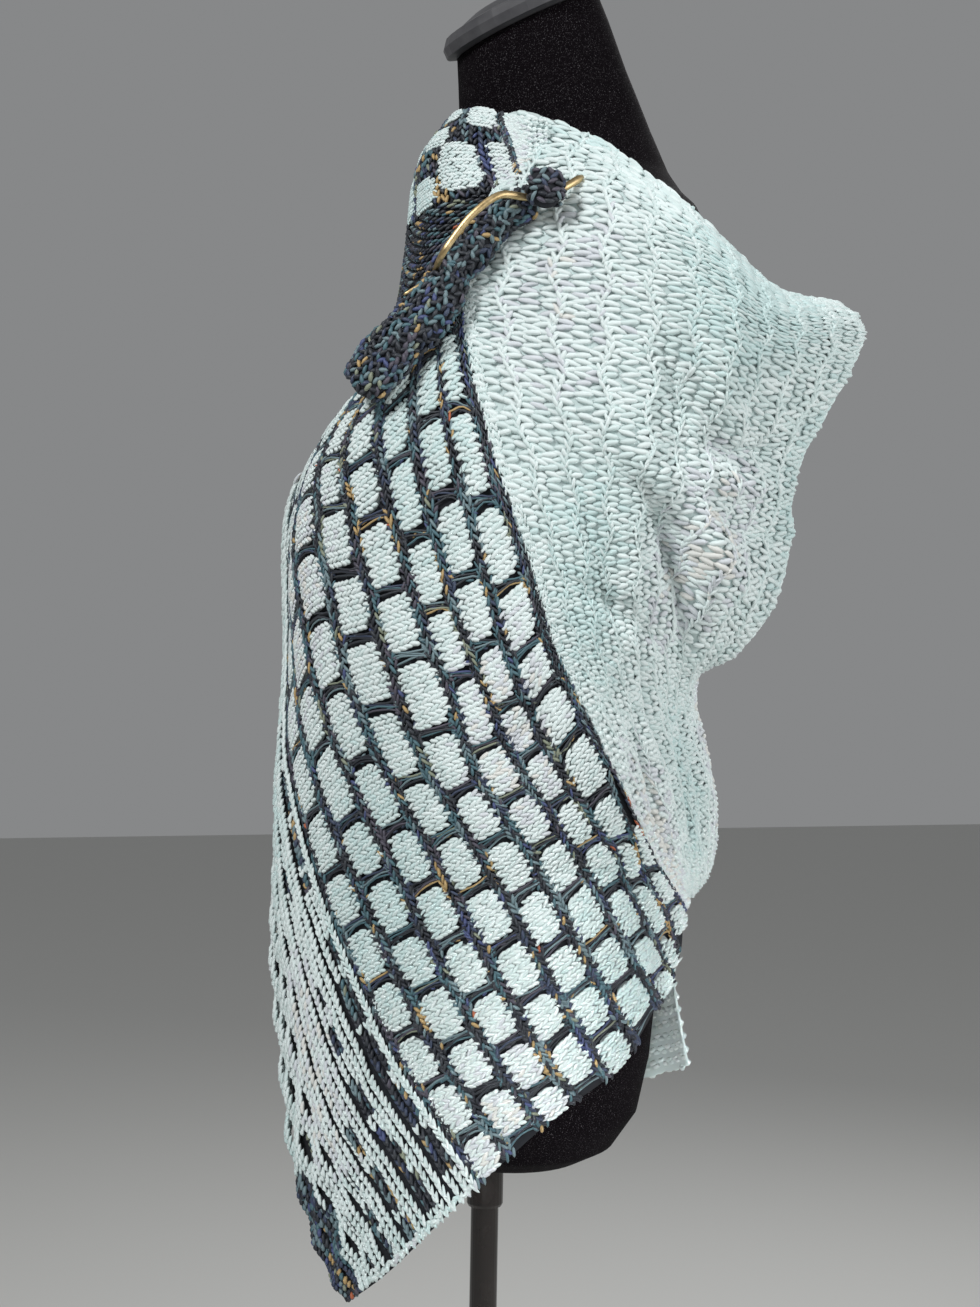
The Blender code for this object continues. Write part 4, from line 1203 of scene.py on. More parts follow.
def column(yarn, sheet, u, low, high, k, lift, shade_of, size=1.0, pitch=COLUMN_PITCH, wander=0.0):
    """A column of slanting strokes along the knitting. Odd columns lean one way and even ones the other."""
    v = np.arange(low, high, pitch)
    v = v + chance.uniform(-0.012, 0.012, len(v))
    u = np.full(len(v), u)
    u = u + wander * welt_wander(u, v)
    spans = sheet.size_at(u, v)
    keep = spans[:, 0] > LEAST_COURSE
    u, v, spans = u[keep], v[keep], spans[keep]
    wide = size * np.clip(spans[:, 0] / COURSE_WIDTH, 0.62, 1.3)
    tall = size * spans[:, 1] / BRICK_LENGTH
    across, along, width, height = stitch_sizes(len(v), COLUMN_STITCH)
    turn = 1.0 if k % 2 else -1.0
    legs(yarn, sheet, u, v, turn * wide * across, tall * along, wide * width, size * height,
         lift + chance.uniform(-0.0003, 0.0005, len(v)), ARCH, shade_of(u, v))


def mortar_stitches(yarn):
    """Columns of V stitches along each line between two courses of the front."""
    for line in range(1, BRICK_COURSES):
        for k, off in enumerate(MORTAR_OFFSETS):
            foot = end_edge(line) + 0.03 + 0.05 * (k % 2)
            lift = MORTAR_LIFT if abs(off) < 0.08 else MORTAR_LIFT * 0.5
            column(yarn, knit, line + off, foot, under_roll(line), k, lift, dark_shade,
                   size=0.88, pitch=MORTAR_PITCH)


def crossing_ties(yarn):
    """Arched strands that cross each course between its bricks, with stitches round them."""
    t = TIE_STATIONS[None, :]
    arch = 1 - t ** 2
    thickness = TIE_THICKNESS * TIE_PROFILE[None, :]
    n = TIE_BUMPS
    for course in range(BRICK_COURSES):
        centre = course + 0.5
        for tie in tie_places(course):
            if tie < end_edge(centre) + 0.03 or tie > under_roll(centre) - 0.02:
                continue
            if knit.size_at(centre, tie)[0] < LEAST_COURSE:
                continue
            slope = TIE_SLOPE * float(ease((tie - 5.5) / 2.0))
            for k in range(TIE_STRANDS):
                off = TIE_STRAND_PITCH * (k - (TIE_STRANDS - 1) / 2) + chance.uniform(-0.014, 0.014)
                lean = slope + chance.uniform(-0.030, 0.030)
                wave = 0.010 * np.sin(5 * t + 2.1 * k + course)
                v = tie + off * (0.45 + 0.9 * np.abs(t + 0.2)) + lean * t + 0.045 * arch - 0.02 + wave
                points, normals = knit.at(centre + TIE_REACH * t, v)
                points = points + normals * (TIE_LIFT + TIE_ARCH * arch + 0.0004 * (k % 2))[..., None]
                shade = dark_shade(np.array([course + 3.7 * k]), np.array([tie + 0.3 * k]))
                yarn.add(points, normals, thickness, thickness, shade)
            u = centre + np.linspace(-0.34, 0.34, n)
            v = tie + slope * (u - centre) * 2 + chance.uniform(-0.05, 0.07, n)
            legs(yarn, knit, u, v, spread(n, 0.0026, 0.3), chance.uniform(-0.0016, 0.0016, n),
                 spread(n, 0.0011, 0.15), spread(n, 0.0011, 0.15),
                 chance.uniform(-0.0004, 0.0008, n), LOW_ARCH, dark_shade(u, v))
            for side in (-0.5, 0.5):
                u = centre + side + np.sign(-side) * chance.uniform(-0.05, 0.20, n)
                v = tie + slope * side * 2 + chance.uniform(-0.16, 0.16, n)
                legs(yarn, knit, u, v, chance.uniform(-0.0028, 0.0028, n), chance.uniform(0.0016, 0.0034, n),
                     spread(n, 0.0012, 0.15), spread(n, 0.0012, 0.15),
                     chance.uniform(0.0002, 0.0012, n), LOW_ARCH, dark_shade(u, v))


def side_legs(yarn, bodies):
    """Dark strokes that reach in between the pale ones along the sides of each brick."""
    for course, foot, head, wide in bodies:
        for side in (-1.0, 1.0):
            v = np.arange(foot + 0.04, head - 0.02, 0.095)
            v = v[chance.uniform(0, 1, len(v)) < SIDE_SHARE]
            n = len(v)
            u = course + 0.5 + side * (wide + chance.uniform(-0.03, 0.03, n))
            across, along, width, height = stitch_sizes(n, SIDE_STITCH)
            legs(yarn, knit, u, v, across, -side * along, width, height,
                 chance.uniform(0.0009, 0.0017, n), 0.0005, dark_shade(u, v))


def pale_rows(yarn, courses):
    """Long strokes across each pale course, slanting one way and then the other."""
    v = np.arange(1.32, 15.68, PALE_ROW_PITCH)
    n = len(v)
    for course in courses:
        for k, place in enumerate(PALE_STROKES):
            at = v + PALE_ROW_OFFSET * (k % 2) + chance.uniform(-0.013, 0.013, n)
            u = course + place + chance.uniform(-0.03, 0.03, n)
            u = u + welt_wander(u, at)
            spans = front.size_at(u, at)
            in_brick = (at + BRICK_START + 0.5 * (course % 2)) % 1.0
            length = np.clip(spans[:, 0], 0.010, 0.034) * PALE_LENGTH
            width = np.clip(spans[:, 1], 0.020, 0.050) * PALE_WIDTH
            shade = pale_shade(u, at)
            keep = spans[:, 0] > LEAST_COURSE * 0.6
            for hole_u, hole_v in PALE_HOLES:
                keep &= np.hypot((u - hole_u) * 0.7, at - hole_v) > PALE_HOLE_RADIUS
            keep &= chance.uniform(0, 1, n) > 0.003
            across = length * spread(n, 1.0, 0.12)
            along = by_turns(n) * width * spread(n, PALE_SLANT, 0.5)
            height = spread(n, PALE_HEIGHT, 0.15)
            lift = PALE_PUFF * pillow(2 * place - 1, 2 * in_brick - 1) + chance.uniform(-0.0002, 0.0004, n)
            u, at, across, along, width, height, lift, shade = (
                value[keep] for value in (u, at, across, along, width, height, lift, shade))
            legs(yarn, front, u, at, across, along, width, height, lift, LOW_ARCH, shade)


def sunken(course, u, v):
    """True where a dark block lies sunk between the pale columns."""
    found = np.zeros(len(u), dtype=bool)
    for middle, half, foot, head in DARK_BLOCKS:
        x = (u - middle) / (half + 0.05)
        y = (v - (foot + head) / 2) / ((head - foot) / 2 + 0.07)
        found |= np.abs(x) ** 3 + np.abs(y) ** 4 < 1
    half_u, half_v = UPPER_BLOCK_HALF
    from_block = (v - UPPER_BLOCKS[course] + 0.5) % 1.0 - 0.5
    upper = np.abs((u - course - UPPER_BLOCK_MIDDLE) / half_u) ** 3 + np.abs(from_block / half_v) ** 4 < 1
    return found | (upper & (v > UPPER_BLOCKS_FROM))


def inverse_stitches(pale, dark, first, last, block_lift):
    """Pale chains of V stitches in raised pairs, with sunken dark blocks between the pairs."""
    turn_table = np.array(BORDER_TURN)
    for k, chain in enumerate(np.arange(CHAIN_FIRST, 16.0, CHAIN_PITCH)):
        if not first <= chain < last:
            continue
        raised = k % 4 > 1
        for turn in (-1.0, 1.0):
            u0 = chain + turn * CHAIN_OPEN
            v = np.arange(end_edge(u0) + 0.03, under_roll(u0), CHAIN_STITCH_PITCH)
            v = v + chance.uniform(-0.008, 0.008, len(v))
            u = u0 + 0.02 * np.sin(2 * np.pi * v + 3.1 * chain) + chance.uniform(-0.008, 0.008, len(v))
            block = sunken(min(int(chain), 15), u, v) & (not raised)
            if chain >= 14:
                block |= u > np.interp(v, turn_table[:, 0], turn_table[:, 1])
            spans = front.size_at(u, v)
            wide = np.clip(spans[:, 0] / COURSE_WIDTH, 0.45, 1.3)
            tall = spans[:, 1] / BRICK_LENGTH
            lumps = (0.0004 + 0.0014 * ease((chain - 11.5) / 2)) * np.sin(2 * np.pi * v + 2.4 * int(chain))
            for yarn, pick, lift, size, shade_of in (
                    (pale, ~block, RAISED_LIFT if raised else LOW_LIFT, 1.0, pale_shade),
                    (dark, block, block_lift, BLOCK_STITCH_SIZE, dark_shade)):
                m = int(pick.sum())
                if m == 0:
                    continue
                across, along, width, height = stitch_sizes(m, CHAIN_STITCH)
                legs(yarn, front, u[pick], v[pick], turn * wide[pick] * across, tall[pick] * along,
                     size * wide[pick] * width, size * height,
                     lift + lumps[pick] + chance.uniform(-0.0003, 0.0003, m), ARCH,
                     shade_of(u[pick], v[pick]), dip=0.0011)


def collar_meets(bricks):
    """Where the collar meets the pale section, in courses."""
    table = np.array(COLLAR_MEETS)
    return np.interp(bricks, table[:, 0], table[:, 1])


def collar_mortar(yarn):
    """Dark stitches wherever the collar has no brick, and along its meeting with the pale section."""
    for k, u0 in enumerate(np.arange(-0.90, 6.1, 0.10)):
        v = np.arange(0.03, COLLAR_HIGH, 0.125)
        v = v + 0.03 * (k % 2) + chance.uniform(-0.012, 0.012, len(v))
        u = np.full(len(v), u0) + chance.uniform(-0.02, 0.02, len(v))
        keep = u - COLLAR_SKEW * (v - 0.9) > collar_meets(v)
        for middle, half, foot, head in COLLAR_BRICKS:
            x = (u - middle) / (half + 0.01)
            y = (v - (foot + head) / 2) / ((head - foot) / 2 + 0.02)
            keep &= np.abs(x) ** 3 + np.abs(y) ** 3 > 1
        u, v = u[keep], v[keep]
        across, along, width, height = stitch_sizes(len(v), COLLAR_STITCH)
        turn = 1.0 if k % 2 else -1.0
        legs(yarn, collar_knit, u, v, turn * across, along, width, height,
             chance.uniform(0.0004, 0.0018, len(v)), ARCH, dark_shade(u, v))
    for turn in (-1, 1):
        v = np.arange(0.035 + 0.015 * turn, COLLAR_HIGH, 0.062)
        across, along, width, height = stitch_sizes(len(v), MEETING_STITCH)
        legs(yarn, collar, collar_meets(v) + 0.03 * turn, v, turn * across, along, width, height,
             chance.uniform(0.0016, 0.0024, len(v)), ARCH, dark_shade(v, v))


def collar_margin(yarn):
    """Pale stitches from the collar's last course to its end, where the pale section goes on."""
    for k, u0 in enumerate(np.arange(-0.86, 0.10, 0.075)):
        v = np.arange(0.02, COLLAR_HIGH, 0.060)
        v = v[u0 < collar_meets(v) - 0.06]
        n = len(v)
        u = u0 + chance.uniform(-0.03, 0.03, n)
        across, along, width, height = stitch_sizes(n, MARGIN_STITCH)
        bend_down = 0.035 * min(0.0, u0 + 0.6)
        legs(yarn, collar, u, v + 0.02 * (k % 2), across, by_turns(n) * along, width, height,
             bend_down + chance.uniform(0.0008, 0.0016, n), LOW_ARCH, pale_shade(np.full(n, u0), v))


def tube_grid(points, half_widths, half_depths, sides, end_share):
    """Rings of a tube with rounded ends along a line, flatter towards the form."""
    tangents = unit(np.gradient(points, axis=0))
    steps = np.linalg.norm(np.diff(points, axis=0), axis=1)
    place = np.concatenate([[0], np.cumsum(steps)])
    outward = points - FORM_AXIS
    outward[:, 2] = 0
    outward -= tangents * np.sum(outward * tangents, axis=1, keepdims=True)
    outward = unit(outward)
    across = np.cross(tangents, outward)
    to_end = np.minimum(1, np.minimum(place, place[-1] - place) / (1.2 * half_depths))
    scale = (end_share + (1 - end_share) * np.sqrt(1 - (1 - to_end) ** 2))[:, None, None]
    angle = (2 * np.pi * np.arange(sides) / sides)[None, :, None]
    return (points[:, None] + across[:, None] * np.cos(angle) * half_widths[:, None, None] * scale
            + outward[:, None] * np.sin(angle) * half_depths[:, None, None] * scale)


def tube_object(name, rings, materials):
    """A closed tube through rings of points, its ends fanned."""
    count, sides = rings.shape[:2]
    vertices = np.concatenate([rings.reshape(-1, 3), rings[:1].mean(axis=1), rings[-1:].mean(axis=1)])
    index = np.arange(count * sides).reshape(count, sides)
    after = np.roll(index, -1, axis=1)
    quads = np.stack([index[:-1], after[:-1], after[1:], index[1:]], axis=-1).reshape(-1, 4)
    first = np.stack([after[0], index[0], np.full(sides, count * sides)], axis=-1)
    last = np.stack([index[-1], after[-1], np.full(sides, count * sides + 1)], axis=-1)
    corners = np.concatenate([quads.ravel(), first.ravel(), last.ravel()])
    counts = np.concatenate([np.full(len(quads), 4), np.full(2 * sides, 3)])
    thing = link_mesh(name, vertices, corners, counts, np.zeros(len(counts), dtype=int), materials)
    half = count // 2
    a, b, c = rings[half, 0], rings[half, 1], rings[half + 1, 0]
    if np.dot(np.cross(b - a, c - a), a - rings[half].mean(axis=0)) < 0:
        thing.data.flip_normals()
    return thing


def tube_stitches(yarn, rings, shade_of, pitch_along, pitch_round, half_length, half_width, turn, sway):
    """Short strands over a tube, in rings one after the other. turn is how far they
    lean from the ring, one way and the other, and sway is the chance part, in degrees."""
    count = len(rings)
    middle = rings.mean(axis=1)
    place = np.concatenate([[0], np.cumsum(np.linalg.norm(np.diff(middle, axis=0), axis=1))])
    t = LEG_STATIONS[None, :, None]
    thickness = half_width * LEG_PROFILE[None, :]
    row = 0
    at = pitch_along
    while at < place[-1] - pitch_along * 0.4:
        i = np.interp(at, place, np.arange(count))
        i0 = min(int(i), count - 2)
        ring = rings[i0] * (1 - (i - i0)) + rings[i0 + 1] * (i - i0)
        centre = ring.mean(axis=0)
        along = unit(middle[i0 + 1] - middle[i0])
        closed = np.concatenate([ring, ring[:1]])
        length = np.concatenate([[0], np.cumsum(np.linalg.norm(np.diff(closed, axis=0), axis=1))])
        n = max(4, int(length[-1] / pitch_round))
        s = np.mod(np.arange(n) + 0.5 * (row % 2) + chance.uniform(-0.2, 0.2, n), n) / n * length[-1]
        point, ahead = (np.stack([np.interp(s + step, length, closed[:, k]) for k in range(3)], axis=1)
                        for step in (0.0, 0.0005))
        round_way = unit(ahead - point)
        point = point + along * chance.uniform(-0.3, 0.3, n)[:, None] * pitch_along
        normal = unit(point - centre - along * np.sum((point - centre) * along, axis=1, keepdims=True))
        normal = unit(normal - round_way * np.sum(normal * round_way, axis=1, keepdims=True))
        slant = np.radians(-turn * by_turns(n) + chance.uniform(-sway, sway, n))[:, None]
        direction = round_way * np.cos(slant) + along * np.sin(slant)
        rise = chance.uniform(-0.0002, 0.0010, n)[:, None, None]
        centres = (point[:, None] + direction[:, None] * t * half_length
                   + normal[:, None] * (rise + 0.0008 * (1 - t ** 2) - 0.0005 * t ** 2))
        yarn.add(centres, np.repeat(normal[:, None], len(LEG_STATIONS), axis=1), thickness, thickness,
                 shade_of(np.arange(n) * 0.5, np.full(n, row * 0.16)))
        row += 1
        at += pitch_along


def area_light(name, side, near, up, size, energy, target=(0, 0, 1.0), spread_angle=math.pi):
    """A square lamp, placed and aimed by side, near and up."""
    lamp = bpy.data.lights.new(name, "AREA")
    lamp.spread = spread_angle
    lamp.shape = "SQUARE"
    lamp.size = size
    lamp.energy = energy
    thing = bpy.data.objects.new(name, lamp)
    place = view_to_world([(side, near, up)])[0]
    thing.location = place
    aim = Vector(view_to_world([target])[0]) - Vector(place)
    thing.rotation_euler = aim.to_track_quat("-Z", "Y").to_euler()
    bpy.context.scene.collection.objects.link(thing)


pale_yarns = [plain_material(name, colour, roughness=0.80, sheen=0.15) for name, colour in PALE_YARNS]
dark_yarns = [plain_material(name, colour, roughness=0.55, sheen=0.04) for name, colour in DARK_YARNS]
# Pale ground: the pale yarn darkened, painted shade in the gaps between its stitches
pale_ground_painted_shade = plain_material("pale_ground_painted_shade", (0.58, 0.69, 0.685), roughness=0.9, sheen=0.3)
# Pads: the pale yarn much darker, painted shade between the brick stitches
pad_painted_shade = plain_material("pad_painted_shade", (0.31, 0.37, 0.37), roughness=0.9, sheen=0.3)
# Dark ground: the dark yarn's colour darkened further, painted shade in the gaps between its strands and
# between the pale cords
dark_ground_painted_shade = plain_material("dark_ground_painted_shade", (0.010, 0.012, 0.017), roughness=0.9)

# The cloth as sheets. The front and the collar are there twice: evenly, and by their courses as they lie.
front = Sheet(front_grid, -10.25, 16.25, -0.25, 16.25, step_u=0.125, step_v=0.125)
wrap = Sheet(wrap_grid, 0.0, 12.0, 0.0, 10.0, step_u=0.1, step_v=0.1)
collar = Sheet(lambda courses, bricks: wrap_grid(12.0 - courses, bricks * COLLAR_BRICK_FALLS),
               -0.9, 6.0, 0.0, COLLAR_HEM, step_u=0.1, step_v=0.05)
knit = Sheet(knit_grid, -10.25, 16.0, -0.25, 16.25, step_u=0.125, step_v=0.125)
collar_knit = Sheet(collar_knit_grid, -1.1, 6.2, 0.0, COLLAR_HEM, step_u=0.1, step_v=0.05)

# Edges of the sheets. The stitches stop a little way in under the roll.
end_edge = edge_line(END_EDGE)
pale_top = edge_line(PALE_TOP)
roll_top = edge_line(ROLL_TOP)
under_roll = edge_line(ROLL_TOP, 0.28)
back_top = level(0.05)
back_hem = level(10.0)
collar_top = level(0.0)
collar_split = level(COLLAR_HIGH)
collar_hem = level(COLLAR_HEM)

# Pale section of the front: the same bricks in one colour, drawn close together
pale_cloth = ground("pale_cloth", front, (-10.0, -0.02), end_edge, pale_top, pale_ground_painted_shade,
                    across=71, along=100, lift=pale_swell)
pale_pieces = []
for name, courses in (("pale_stitches_outer", range(-10, -5)), ("pale_stitches_inner", range(-5, 0))):
    yarn = Yarn()
    pale_rows(yarn, courses)
    pale_pieces.append(yarn.build(name, pale_yarns, "pale_yarn"))
yarn = Yarn()
for line in range(-9, 0):
    for k, off in enumerate((-0.035, 0.035)):
        column(yarn, front, line + off, 1.35 + 0.06 * k, 15.6, k, PALE_PUFF * 1.15, pale_shade,
               size=1.12, pitch=0.128, wander=1.0)
for k, edge in enumerate((-9.98, -9.92, -9.86)):
    column(yarn, front, edge, 1.35, 15.65, k, 0.0002, pale_shade, size=1.1, pitch=0.12)
for k, edge in enumerate((-0.30, -0.22, -0.14, -0.06, 0.02)):
    column(yarn, front, edge, 1.35, 15.5, k, 0.0010, pale_shade, size=1.05)
pale_pieces.append(yarn.build("pale_welts", pale_yarns, "pale_yarn"))
yarn = Yarn()
hole_u, hole_v = np.array(PALE_HOLES).T
legs(yarn, front, hole_u, hole_v, across=0.0026, along=0.0006, width=0.0014, height=0.0006,
     lift=-0.0004, arch=0.0, shade=0)
pale_pieces.append(yarn.build("pale_gaps", [dark_ground_painted_shade], "pale_yarn"))

# Brick section of the front
bodies = not_folded(knit, brick_bodies())
brick_cloth = ground("brick_cloth", front, (0.02, 8.98), end_edge, roll_top, dark_ground_painted_shade,
                     across=58, along=84)
brick_pieces = [build_pads("brick_pads", knit, bodies)]
yarn = Yarn()
brick_stitches(yarn, knit, bodies)
brick_pieces.append(yarn.build("brick_stitches", pale_yarns, "pale_yarn"))
yarn = Yarn()
mortar_stitches(yarn)
for k, off in enumerate((0.04, 0.13, 0.22, 0.31)):
    column(yarn, front, off, 1.35 if k < 2 else 4.7, 12.9, k, 0.0013, dark_shade)
for k, off in enumerate((-0.21, -0.12, -0.03)):
    column(yarn, knit, BRICK_COURSES + off, 0.03, 12.3, k, 0.0012, dark_shade)
crossing_ties(yarn)
side_legs(yarn, bodies)
brick_pieces.append(yarn.build("brick_mortar", dark_yarns, "dark_yarn"))

# Inverse section of the front, with loops along its end edge
inverse_cloth = ground("inverse_cloth", front, (9.02, 13.98), end_edge, roll_top, dark_ground_painted_shade,
                       across=32, along=84)
inverse_pale = Yarn()
inverse_dark = Yarn()
inverse_stitches(inverse_pale, inverse_dark, 9.0, 14.0, BLOCK_LIFT)
for k, edge in enumerate((9.03, 9.10)):
    column(inverse_pale, front, edge, 0.02, 12.3, k, RAISED_LIFT, pale_shade,
           size=1.05, pitch=CHAIN_STITCH_PITCH)
loops = np.arange(9.12, 14.6, 0.095)
bend = by_turns(len(loops))
scallop = 0.025 * np.sin(2 * np.pi * loops / (2 * CHAIN_PITCH))
legs(inverse_pale, front, loops, 0.050 + 0.015 * bend + scallop,
     spread(len(loops), 0.0025, 0.15), 0.0013 * bend, spread(len(loops), 0.0016, 0.12),
     spread(len(loops), 0.0016, 0.12), lift=0.0026, arch=0.0008, shade=pale_shade(loops, loops))
inverse_pale = inverse_pale.build("inverse_pale_stitches", pale_yarns, "pale_yarn")
inverse_dark = inverse_dark.build("inverse_dark_stitches", dark_yarns, "dark_yarn")

# Dark border of the front
border_cloth = ground("border_cloth", front, (14.02, 16.0), end_edge, roll_top, dark_ground_painted_shade,
                      across=18, along=90)
border_pale = Yarn()
border_dark = Yarn()
inverse_stitches(border_pale, border_dark, 14.0, 16.0, BORDER_LIFT)
border_knit = border_dark.build("border_stitches", dark_yarns, "dark_yarn")
border_pale = border_pale.build("border_edge_stitches", pale_yarns, "pale_yarn")

# Back, and the inner face of its hanging end
back_cloth = ground("back_cloth", wrap, (0.0, 5.99), back_top, back_hem, pale_ground_painted_shade,
                    across=60, along=54)
yarn = Yarn()
purl_field(yarn, wrap, (0.02, 5.98), back_top, back_hem)
back_knit = yarn.build("back_stitches", pale_yarns, "pale_yarn")
tail = Sheet(wrap_grid, 0.0, 3.0, 4.0, 10.0, step_u=0.1, step_v=0.1)
tail.points = tail.points - tail.normals * (GROUND_DEPTH + GROUND_THICKNESS)
tail.normals = -tail.normals
yarn = Yarn()
purl_field(yarn, tail, (0.03, 2.9), level(5.0), back_hem, TAIL_SINK)
tail_knit = yarn.build("tail_stitches", pale_yarns, "pale_yarn")

# Collar round the neck, with its dark border
collar_bodies = not_folded(collar_knit, [(middle - 0.5, foot, head, half)
                                         for middle, half, foot, head in COLLAR_BRICKS])
collar_cloth = ground("collar_cloth", collar, (-0.60, 5.99), collar_top, collar_split, dark_ground_painted_shade,
                      across=76, along=30)
collar_pieces = [build_pads("collar_pads", collar_knit, collar_bodies)]
yarn = Yarn()
brick_stitches(yarn, collar_knit, collar_bodies)
collar_margin(yarn)
collar_pieces.append(yarn.build("collar_stitches", pale_yarns, "pale_yarn"))
yarn = Yarn()
collar_mortar(yarn)
collar_pieces.append(yarn.build("collar_mortar", dark_yarns, "dark_yarn"))
collar_edge = ground("collar_edge", collar, (0.03, 5.99), collar_split, collar_hem, dark_ground_painted_shade,
                     across=70, along=20)
yarn = Yarn()
garter_field(yarn, collar, (0.05, 5.98), collar_split, collar_hem, COLLAR_TILT)
collar_edge_knit = yarn.build("collar_edge_stitches", dark_yarns, "dark_yarn")

# Rolled border, uneven like a twist of knitting
roll_table = np.array(ROLL_LINE)
roll_rows = smooth(np.arange(len(roll_table)), roll_table, np.linspace(0, len(roll_table) - 1, 61))
roll_base, roll_normals = front.at(roll_rows[:, 0], roll_rows[:, 1])
roll_middle = roll_base + roll_normals * (roll_rows[:, 3] + ROLL_GAP)[:, None]
roll_middle = roll_middle + view_to_world([(-0.0016, 0.0, 0.0016)])
roll_place = np.linspace(0, 1, len(roll_rows))
roll_swell = 1 + 0.09 * np.sin(23 * roll_place + 0.5) + 0.05 * np.sin(41 * roll_place)
# Slimmer than the solid, to leave room for its stitches
roll_rings = tube_grid(roll_middle, (0.88 * roll_rows[:, 2] - 0.0004) * roll_swell,
                       (roll_rows[:, 3] - 0.0012) * (2 - roll_swell), sides=28, end_share=0.35)
roll_body = tube_object("roll_cloth", roll_rings, [dark_ground_painted_shade])
yarn = Yarn()
tube_stitches(yarn, roll_rings, dark_shade, pitch_along=0.0040, pitch_round=0.0031,
              half_length=0.0037, half_width=0.00155, turn=58, sway=34)
roll_knit = yarn.build("roll_stitches", dark_yarns, "dark_yarn")

# Knob of knitting at the pin
knob_centre = view_to_world([KNOB_CENTRE])[0] + VIEW_UP * KNOB_LIFT
angle = 2 * np.pi * np.arange(24) / 24
knob_rings = []
for turn in np.radians(np.linspace(-82, 82, 15)):
    local = np.stack([math.cos(turn) * np.cos(angle) * KNOB_RADII[0],
                      math.cos(turn) * np.sin(angle) * KNOB_RADII[1],
                      math.sin(turn) * KNOB_RADII[2] + 0 * angle], axis=1) * KNOB_SWELL
    knob_rings.append(knob_centre + view_to_world(local))
knob_rings = np.array(knob_rings)
knob_body = tube_object("knob_cloth", knob_rings, [dark_ground_painted_shade])
yarn = Yarn()
tube_stitches(yarn, knob_rings, knob_shade, pitch_along=0.0036, pitch_round=0.0046,
              half_length=0.0038, half_width=0.0015, turn=20, sway=40)
knob_knit = yarn.build("knob_stitches", dark_yarns, "dark_yarn")

# Pin, which tapers towards its tip
brass = grained_material("pin_brass", (0.46, 0.34, 0.17), (0.66, 0.51, 0.28), stops=(0.35, 0.65),
                         grain=260.0, roughness=(0.32, 0.55), metallic=1.0, relief=0.00012)
pin_line = view_to_world(PIN_LINE + PIN_TIP)
pin_share = np.linspace(0, 1, 61)
pin_line = smooth(np.arange(len(pin_line)), pin_line, pin_share * (len(pin_line) - 1))
pin_rings = tube_grid(pin_line, PIN_HALF_WIDTH * (1 - 0.55 * pin_share ** 3),
                      PIN_HALF_DEPTH * (1 - 0.45 * pin_share ** 3), sides=14, end_share=0.5)
pin = tube_object("pin_bar", pin_rings, [brass])

# Dress form, finer than its solid
velvet = grained_material("form_velvet", (0.003, 0.002, 0.003), (0.150, 0.140, 0.150), stops=(0.60, 0.78),
                          grain=1400.0, roughness=(0.9, 1.0))
velvet.node_tree.nodes["Principled BSDF"].inputs["Specular IOR Level"].default_value = 0.06
form_table = np.array(FORM_RINGS)
last_ring = len(form_table) - 1
levels = np.linspace(0, last_ring, FORM_STEPS * last_ring + 1)
form_rows = np.stack([np.interp(levels, np.arange(last_ring + 1), values) for values in form_table.T], axis=1)
angle = 2 * np.pi * np.arange(FORM_SIDES) / FORM_SIDES
form_points = []
for up, half_width, front_depth, back_depth, tilt in form_rows:
    y = (back_depth + front_depth) / 2 * np.cos(angle)
    form_points.append(np.stack([half_width * np.sin(angle), (back_depth - front_depth) / 2 + y,
                                 up + y * math.tan(math.radians(tilt))], axis=1))
form_body = tube_object("form_velvet_body", np.array(form_points), [velvet])
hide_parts("dress_form")

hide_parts("panel_pale")
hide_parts("panel_brick")
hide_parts("panel_inverse")
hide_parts("border_dark")
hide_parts("panel_back")
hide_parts("collar_brick")
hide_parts("collar_border")
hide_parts("collar_roll")
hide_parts("pin_knob")
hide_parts("shawl_pin")

# Finishes of the solids that stay
cap_plastic = grained_material("cap_plastic", (0.042, 0.042, 0.047), (0.060, 0.060, 0.065),
                               stops=(0.35, 0.65), grain=90.0, roughness=(0.36, 0.50), relief=0.0001)
stand_metal = grained_material("stand_metal", (0.012, 0.009, 0.008), (0.022, 0.017, 0.015),
                               stops=(0.30, 0.70), grain=40.0, roughness=(0.14, 0.30))
for node, material in (("neck_cap", cap_plastic), ("pole", stand_metal), ("pole_ferrule", stand_metal),
                       ("stand_base", stand_metal)):
    for material_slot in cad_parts[node].material_slots:
        material_slot.material = material

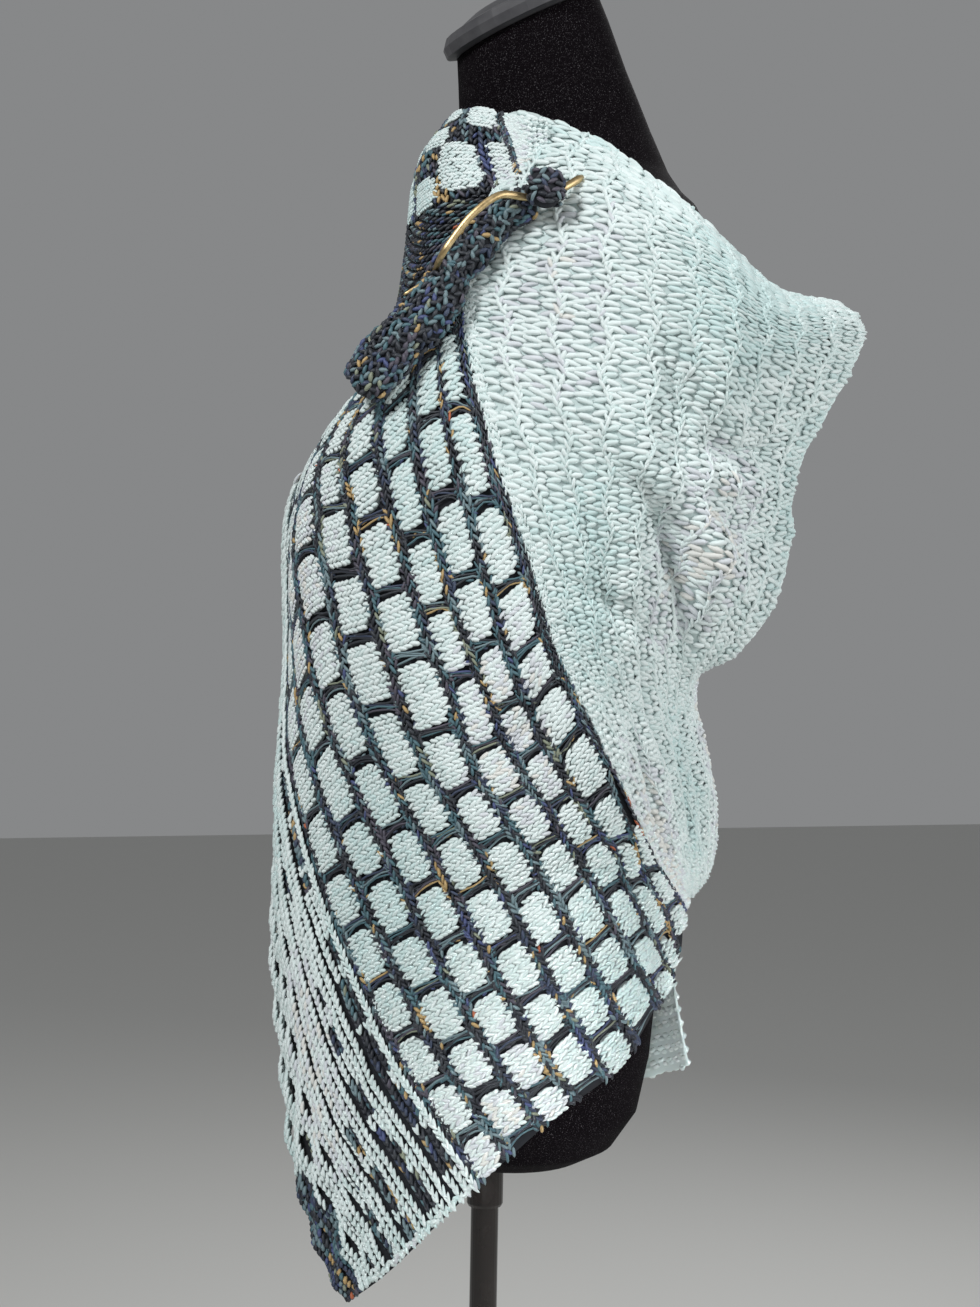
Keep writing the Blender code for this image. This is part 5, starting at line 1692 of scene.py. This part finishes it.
# How each section of the cloth was cut: width and length, with its flat area where it isn't a rectangle
for cloth, flat, area, pieces in (
        (pale_cloth, (0.26, 0.50), 0.115, pale_pieces),
        (brick_cloth, (0.25, 0.51), 0.118, brick_pieces),
        (inverse_cloth, (0.14, 0.49), None, [inverse_pale, inverse_dark]),
        (border_cloth, (0.056, 0.49), None, [border_knit, border_pale]),
        (back_cloth, (0.40, 0.42), 0.150, [back_knit, tail_knit]),
        (collar_cloth, (0.36, 0.09), None, collar_pieces),
        (collar_edge, (0.40, 0.06), None, [collar_edge_knit, roll_body, roll_knit, knob_body, knob_knit])):
    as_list(pieces)

# Floor, world, lamps and camera
floor_mesh = bpy.data.meshes.new("floor")
floor_mesh.from_pydata([(-FLOOR_HALF, -FLOOR_HALF, 0), (FLOOR_HALF, -FLOOR_HALF, 0),
                        (FLOOR_HALF, FLOOR_HALF, 0), (-FLOOR_HALF, FLOOR_HALF, 0)], [], [(0, 1, 2, 3)])
floor = bpy.data.objects.new("floor", floor_mesh)
floor_mesh.materials.append(plain_material("floor_paper", (0.62, 0.62, 0.60), 0.9))
bpy.context.scene.collection.objects.link(floor)

world = bpy.data.worlds.new("studio")
world.use_nodes = True
world.node_tree.nodes["Background"].inputs["Color"].default_value = (0.62, 0.63, 0.64, 1)
world.node_tree.nodes["Background"].inputs["Strength"].default_value = 0.39
bpy.context.scene.world = world

area_light("key", -1.2, 1.5, 2.5, size=0.5, energy=39)
area_light("fill", 2.0, 1.2, 1.7, size=1.2, energy=28)
area_light("front_fill", 0.6, 2.1, 1.1, size=0.7, energy=4)
area_light("low_fill", -0.05, 1.35, 0.7, size=0.2, energy=0.10, target=(0.135, -0.1, 0.66),
           spread_angle=math.radians(14))
area_light("back_light", 0.8, -1.8, 2.2, size=1.2, energy=20)
bpy.context.scene.view_settings.view_transform = "Standard"

camera_data = bpy.data.cameras.new("camera")
camera_data.sensor_fit = "VERTICAL"
camera_data.sensor_height = SENSOR_HEIGHT
camera_data.lens = FOCAL_PIXELS / FRAME_PIXELS_HIGH * SENSOR_HEIGHT
camera = bpy.data.objects.new("camera", camera_data)
right = VIEW_RIGHT * math.cos(ROLL) + VIEW_UP * math.sin(ROLL)
top = VIEW_UP * math.cos(ROLL) - VIEW_RIGHT * math.sin(ROLL)
place = VIEW_RIGHT * EYE_SIDE + VIEW_NEAR * EYE_NEAR + VIEW_UP * EYE_UP
camera.matrix_world = Matrix([*zip(right, top, VIEW_NEAR, place), (0, 0, 0, 1)])
bpy.context.scene.collection.objects.link(camera)
bpy.context.scene.camera = camera
